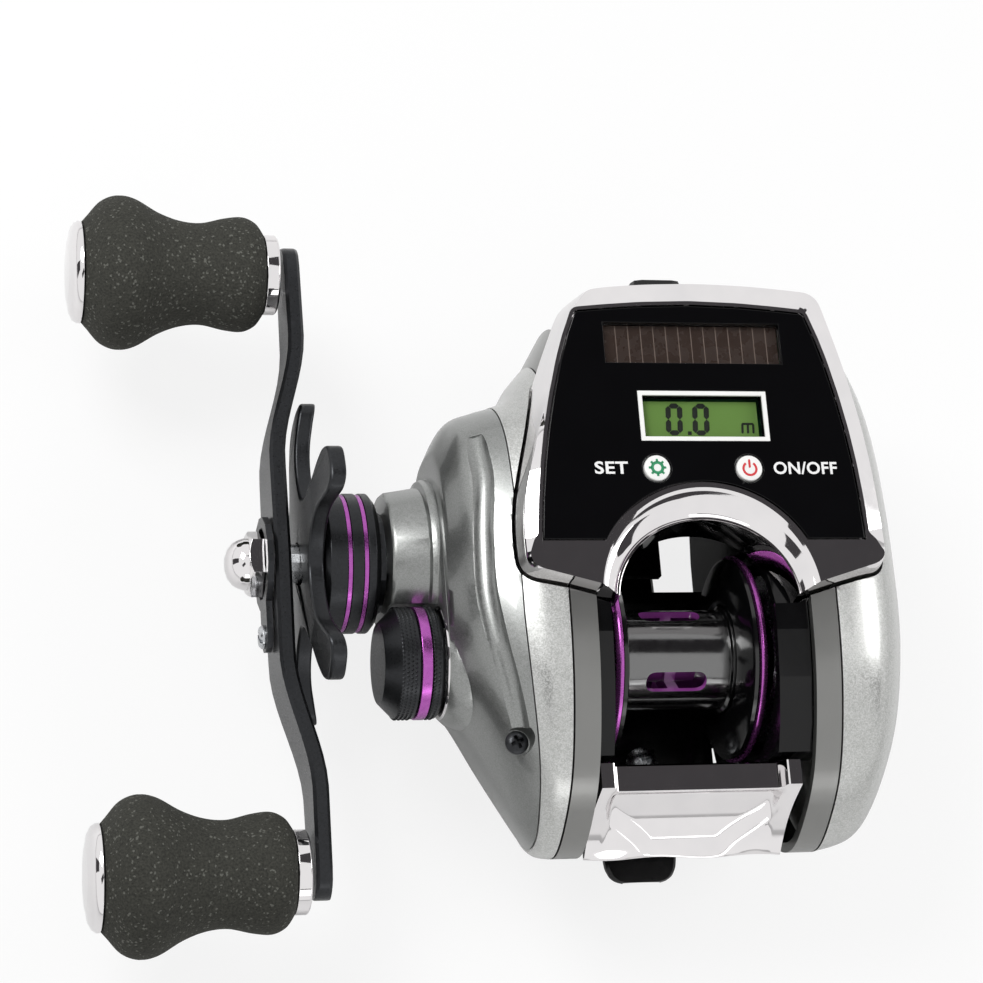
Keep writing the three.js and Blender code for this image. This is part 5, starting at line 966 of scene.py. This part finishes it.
NUT_RADIUS = 5.5
corners = [(DRIVE_AXIS[0] + NUT_RADIUS * cosine, DRIVE_AXIS[1] + NUT_RADIUS * sine)
           for cosine, sine in round_about(6)]
nut = combined(
    extruded(corners, -66.2, -62.8, "X"), "INTERSECT",
    turned([(-66.3, 0), (-66.3, 4.7), (-65.5, 5.7), (-62.7, 5.7), (-62.7, 0)], centre=DRIVE_AXIS))
dome = turned([(-64, 0), (-64, 4.2), (-66.7, 4.15), (-67.5, 3.9), (-68.4, 3.4), (-69.2, 2.4), (-69.6, 1.2),
               (-69.7, 0)], centre=DRIVE_AXIS)
shown("acorn_nut", bevelled(nut, 0.12), chrome, "crank", "chrome", "handle_nut", sharp=28)
shown("acorn_dome", dome, chrome, "crank", "chrome")
carried(anodised, "nut_retainer", "shaft_spacer")
CLIP_PLACE = (6.1, 19.6)
clip_screw = turned([(-63.8, 0), (-63.8, 1.9), (-64.3, 1.9), (-64.7, 1.5), (-64.8, 0)], centre=CLIP_PLACE,
                    sides=48)
clip_slot = block(-65.2, -64.35, -0.3, 0.3, -2.6, 2.4)
clip_slot.transform(Matrix.Translation((0, *CLIP_PLACE)) @ Matrix.Rotation(0.7, 4, "X"))
shown("clip_screw", bevelled(cut(clip_screw, clip_slot), 0.06), steel, "crank", "steel")


# Each knob is turned from closed-cell foam on a riveted pin, with a chromed collar at the handle and
# a chromed domed cap on its outer end. The cap's face is left plain.
foam = Finish("grey_foam", specular_ior_level=0.12)
foam_grain = foam.noise(0.35, detail=6)
foam_pores = foam.cells(0.3, output="Distance")
foam_flecks = foam.node("ShaderNodeSeparateColor", {0: foam.cells(0.3)})
foam_specks = foam.math("MULTIPLY", foam.math("GREATER_THAN", foam_flecks, 0.95), 0.35)
foam_shade = foam.mix(foam.spread(foam_grain, 0, 1), colour("2e2e2b"), colour("454540"))
foam_shade = foam.mix(foam_specks, foam_shade, colour("8a8b84"))
foam.set(base_color=foam_shade, roughness=foam.spread(foam_grain, 0.8, 0.97))
foam_depths = [foam.math("MULTIPLY", foam_pores, 0.6), foam.math("MULTIPLY", foam_grain, 0.4)]
foam.bump(foam.math("ADD", *foam_depths), 0.12)

GRIP = [(0, 0.66), (0.03, 0.74), (0.1, 0.92), (0.19, 1), (0.29, 0.96), (0.42, 0.79), (0.54, 0.69),
        (0.66, 0.665), (0.79, 0.73), (0.89, 0.75), (0.96, 0.68), (1, 0.56)]
GRIP_OUT, GRIP_IN, GRIP_RADIUS, PIN_RADIUS = -90.9, -61.5, 12.6, 2.6
for end, side in (("front", 1), ("rear", -1)):
    knob_axis = (DRIVE_AXIS[0] + KNOB_REACH * side, DRIVE_AXIS[1])
    body = f"{end}_knob"
    skin = [(GRIP_OUT + (GRIP_IN - GRIP_OUT) * along, GRIP_RADIUS * min(1, r))
            for along, r in smooth_through(GRIP, 6, closed=False)]
    grip = turned([(GRIP_OUT, PIN_RADIUS)] + skin + [(GRIP_IN, PIN_RADIUS)], centre=knob_axis, sides=112)
    shown(f"{end}_foam_grip", grip, foam, body, "foam", f"knob_grip_{end}", sharp=50)
    dome = [(-91.2, 0), (-91.2, 8.4), (-91.75, 8.35), (-92.4, 7.9), (-92.9, 6.9), (-93.2, 5.2),
            (-93.3, 4.9), (-93.32, 4.7), (-93.45, 3), (-93.58, 0)]
    shown(f"{end}_cap", turned(dome, centre=knob_axis), chrome, body, "chrome", f"knob_cap_{end}", sharp=35)
    collar = turned([(-59, PIN_RADIUS), (-59, 6.2), (-59.3, 6.6), (-61.2, 6.6), (-61.2, PIN_RADIUS)],
                    centre=knob_axis)
    shown(f"{end}_collar", bevelled(collar, 0.12), chrome, body, "chrome", f"knob_collar_{end}")


# The cast control cap screws onto a spigot on the spool's axis. It is black anodised aluminium with
# a turned chamfer, diagonal knurling, and a band of purple anodised aluminium let into it.
CAP_RADIUS = 8.8
CAP_PROFILE = [(-37.6, 6.9), (-37.6, 8.2), (-38.2, 8.8), (-39.5, 8.8), (-39.5, 7.9), (-41.7, 7.9),
               (-41.7, 8.8), (-44.5, 8.8), (-46.9, 6.4), (-46.9, 0), (-45.3, 0), (-45.3, 6.9)]
cap = bevelled(turned(CAP_PROFILE, centre=SPOOL_AXIS, sides=128), 0.1)
shown("cast_control_cap", cap, anodised, "cast_control", "black_metal", "tension_knob")
band = tube(-41.4, -39.8, 8.2, 8.95, centre=SPOOL_AXIS, sides=128)
shown("cast_control_band", bevelled(band, 0.12), purple, "cast_control", "purple", "tension_band")
KNURLS = 84
PITCH = math.tau * CAP_RADIUS / KNURLS
half = PITCH / 2
for side, first, rows in (("outer", -44.35, 4), ("inner", -39.35, 2)):
    points, faces = [], []
    for row in range(rows):
        x = first + PITCH * row
        way = Matrix.Rotation(math.pi / KNURLS * row, 4, "X")
        points += [tuple(way @ Vector(p) + Vector((0, *SPOOL_AXIS))) for p in (
            (x - half, 0, 8.75), (x, -half, 8.75), (x + half, 0, 8.75), (x, half, 8.75), (x, 0, 9),
            (x, 0, 8.5))]
        faces += [(6 * row + a, 6 * row + b, 6 * row + c) for a, b, c in (
            (0, 1, 4), (1, 2, 4), (2, 3, 4), (3, 0, 4), (1, 0, 5), (2, 1, 5), (3, 2, 5), (0, 3, 5))]
    knurl = repeated(meshed(points, faces), anodised, KNURLS, turn=(math.tau / KNURLS, 0, 0),
                     centre=(0, *SPOOL_AXIS))
    shown(f"cap_knurl_{side}", knurl, anodised, "cast_control", "black_metal", sharp=0)
base_ring = turned([(-37.4, 7), (-37.4, 8.8), (-37, 9.1), (-36.4, 9.1), (-36.4, 7)], centre=SPOOL_AXIS,
                   sides=128)
shown("cap_base_ring", bevelled(base_ring, 0.12), chrome, "frame", "chrome")
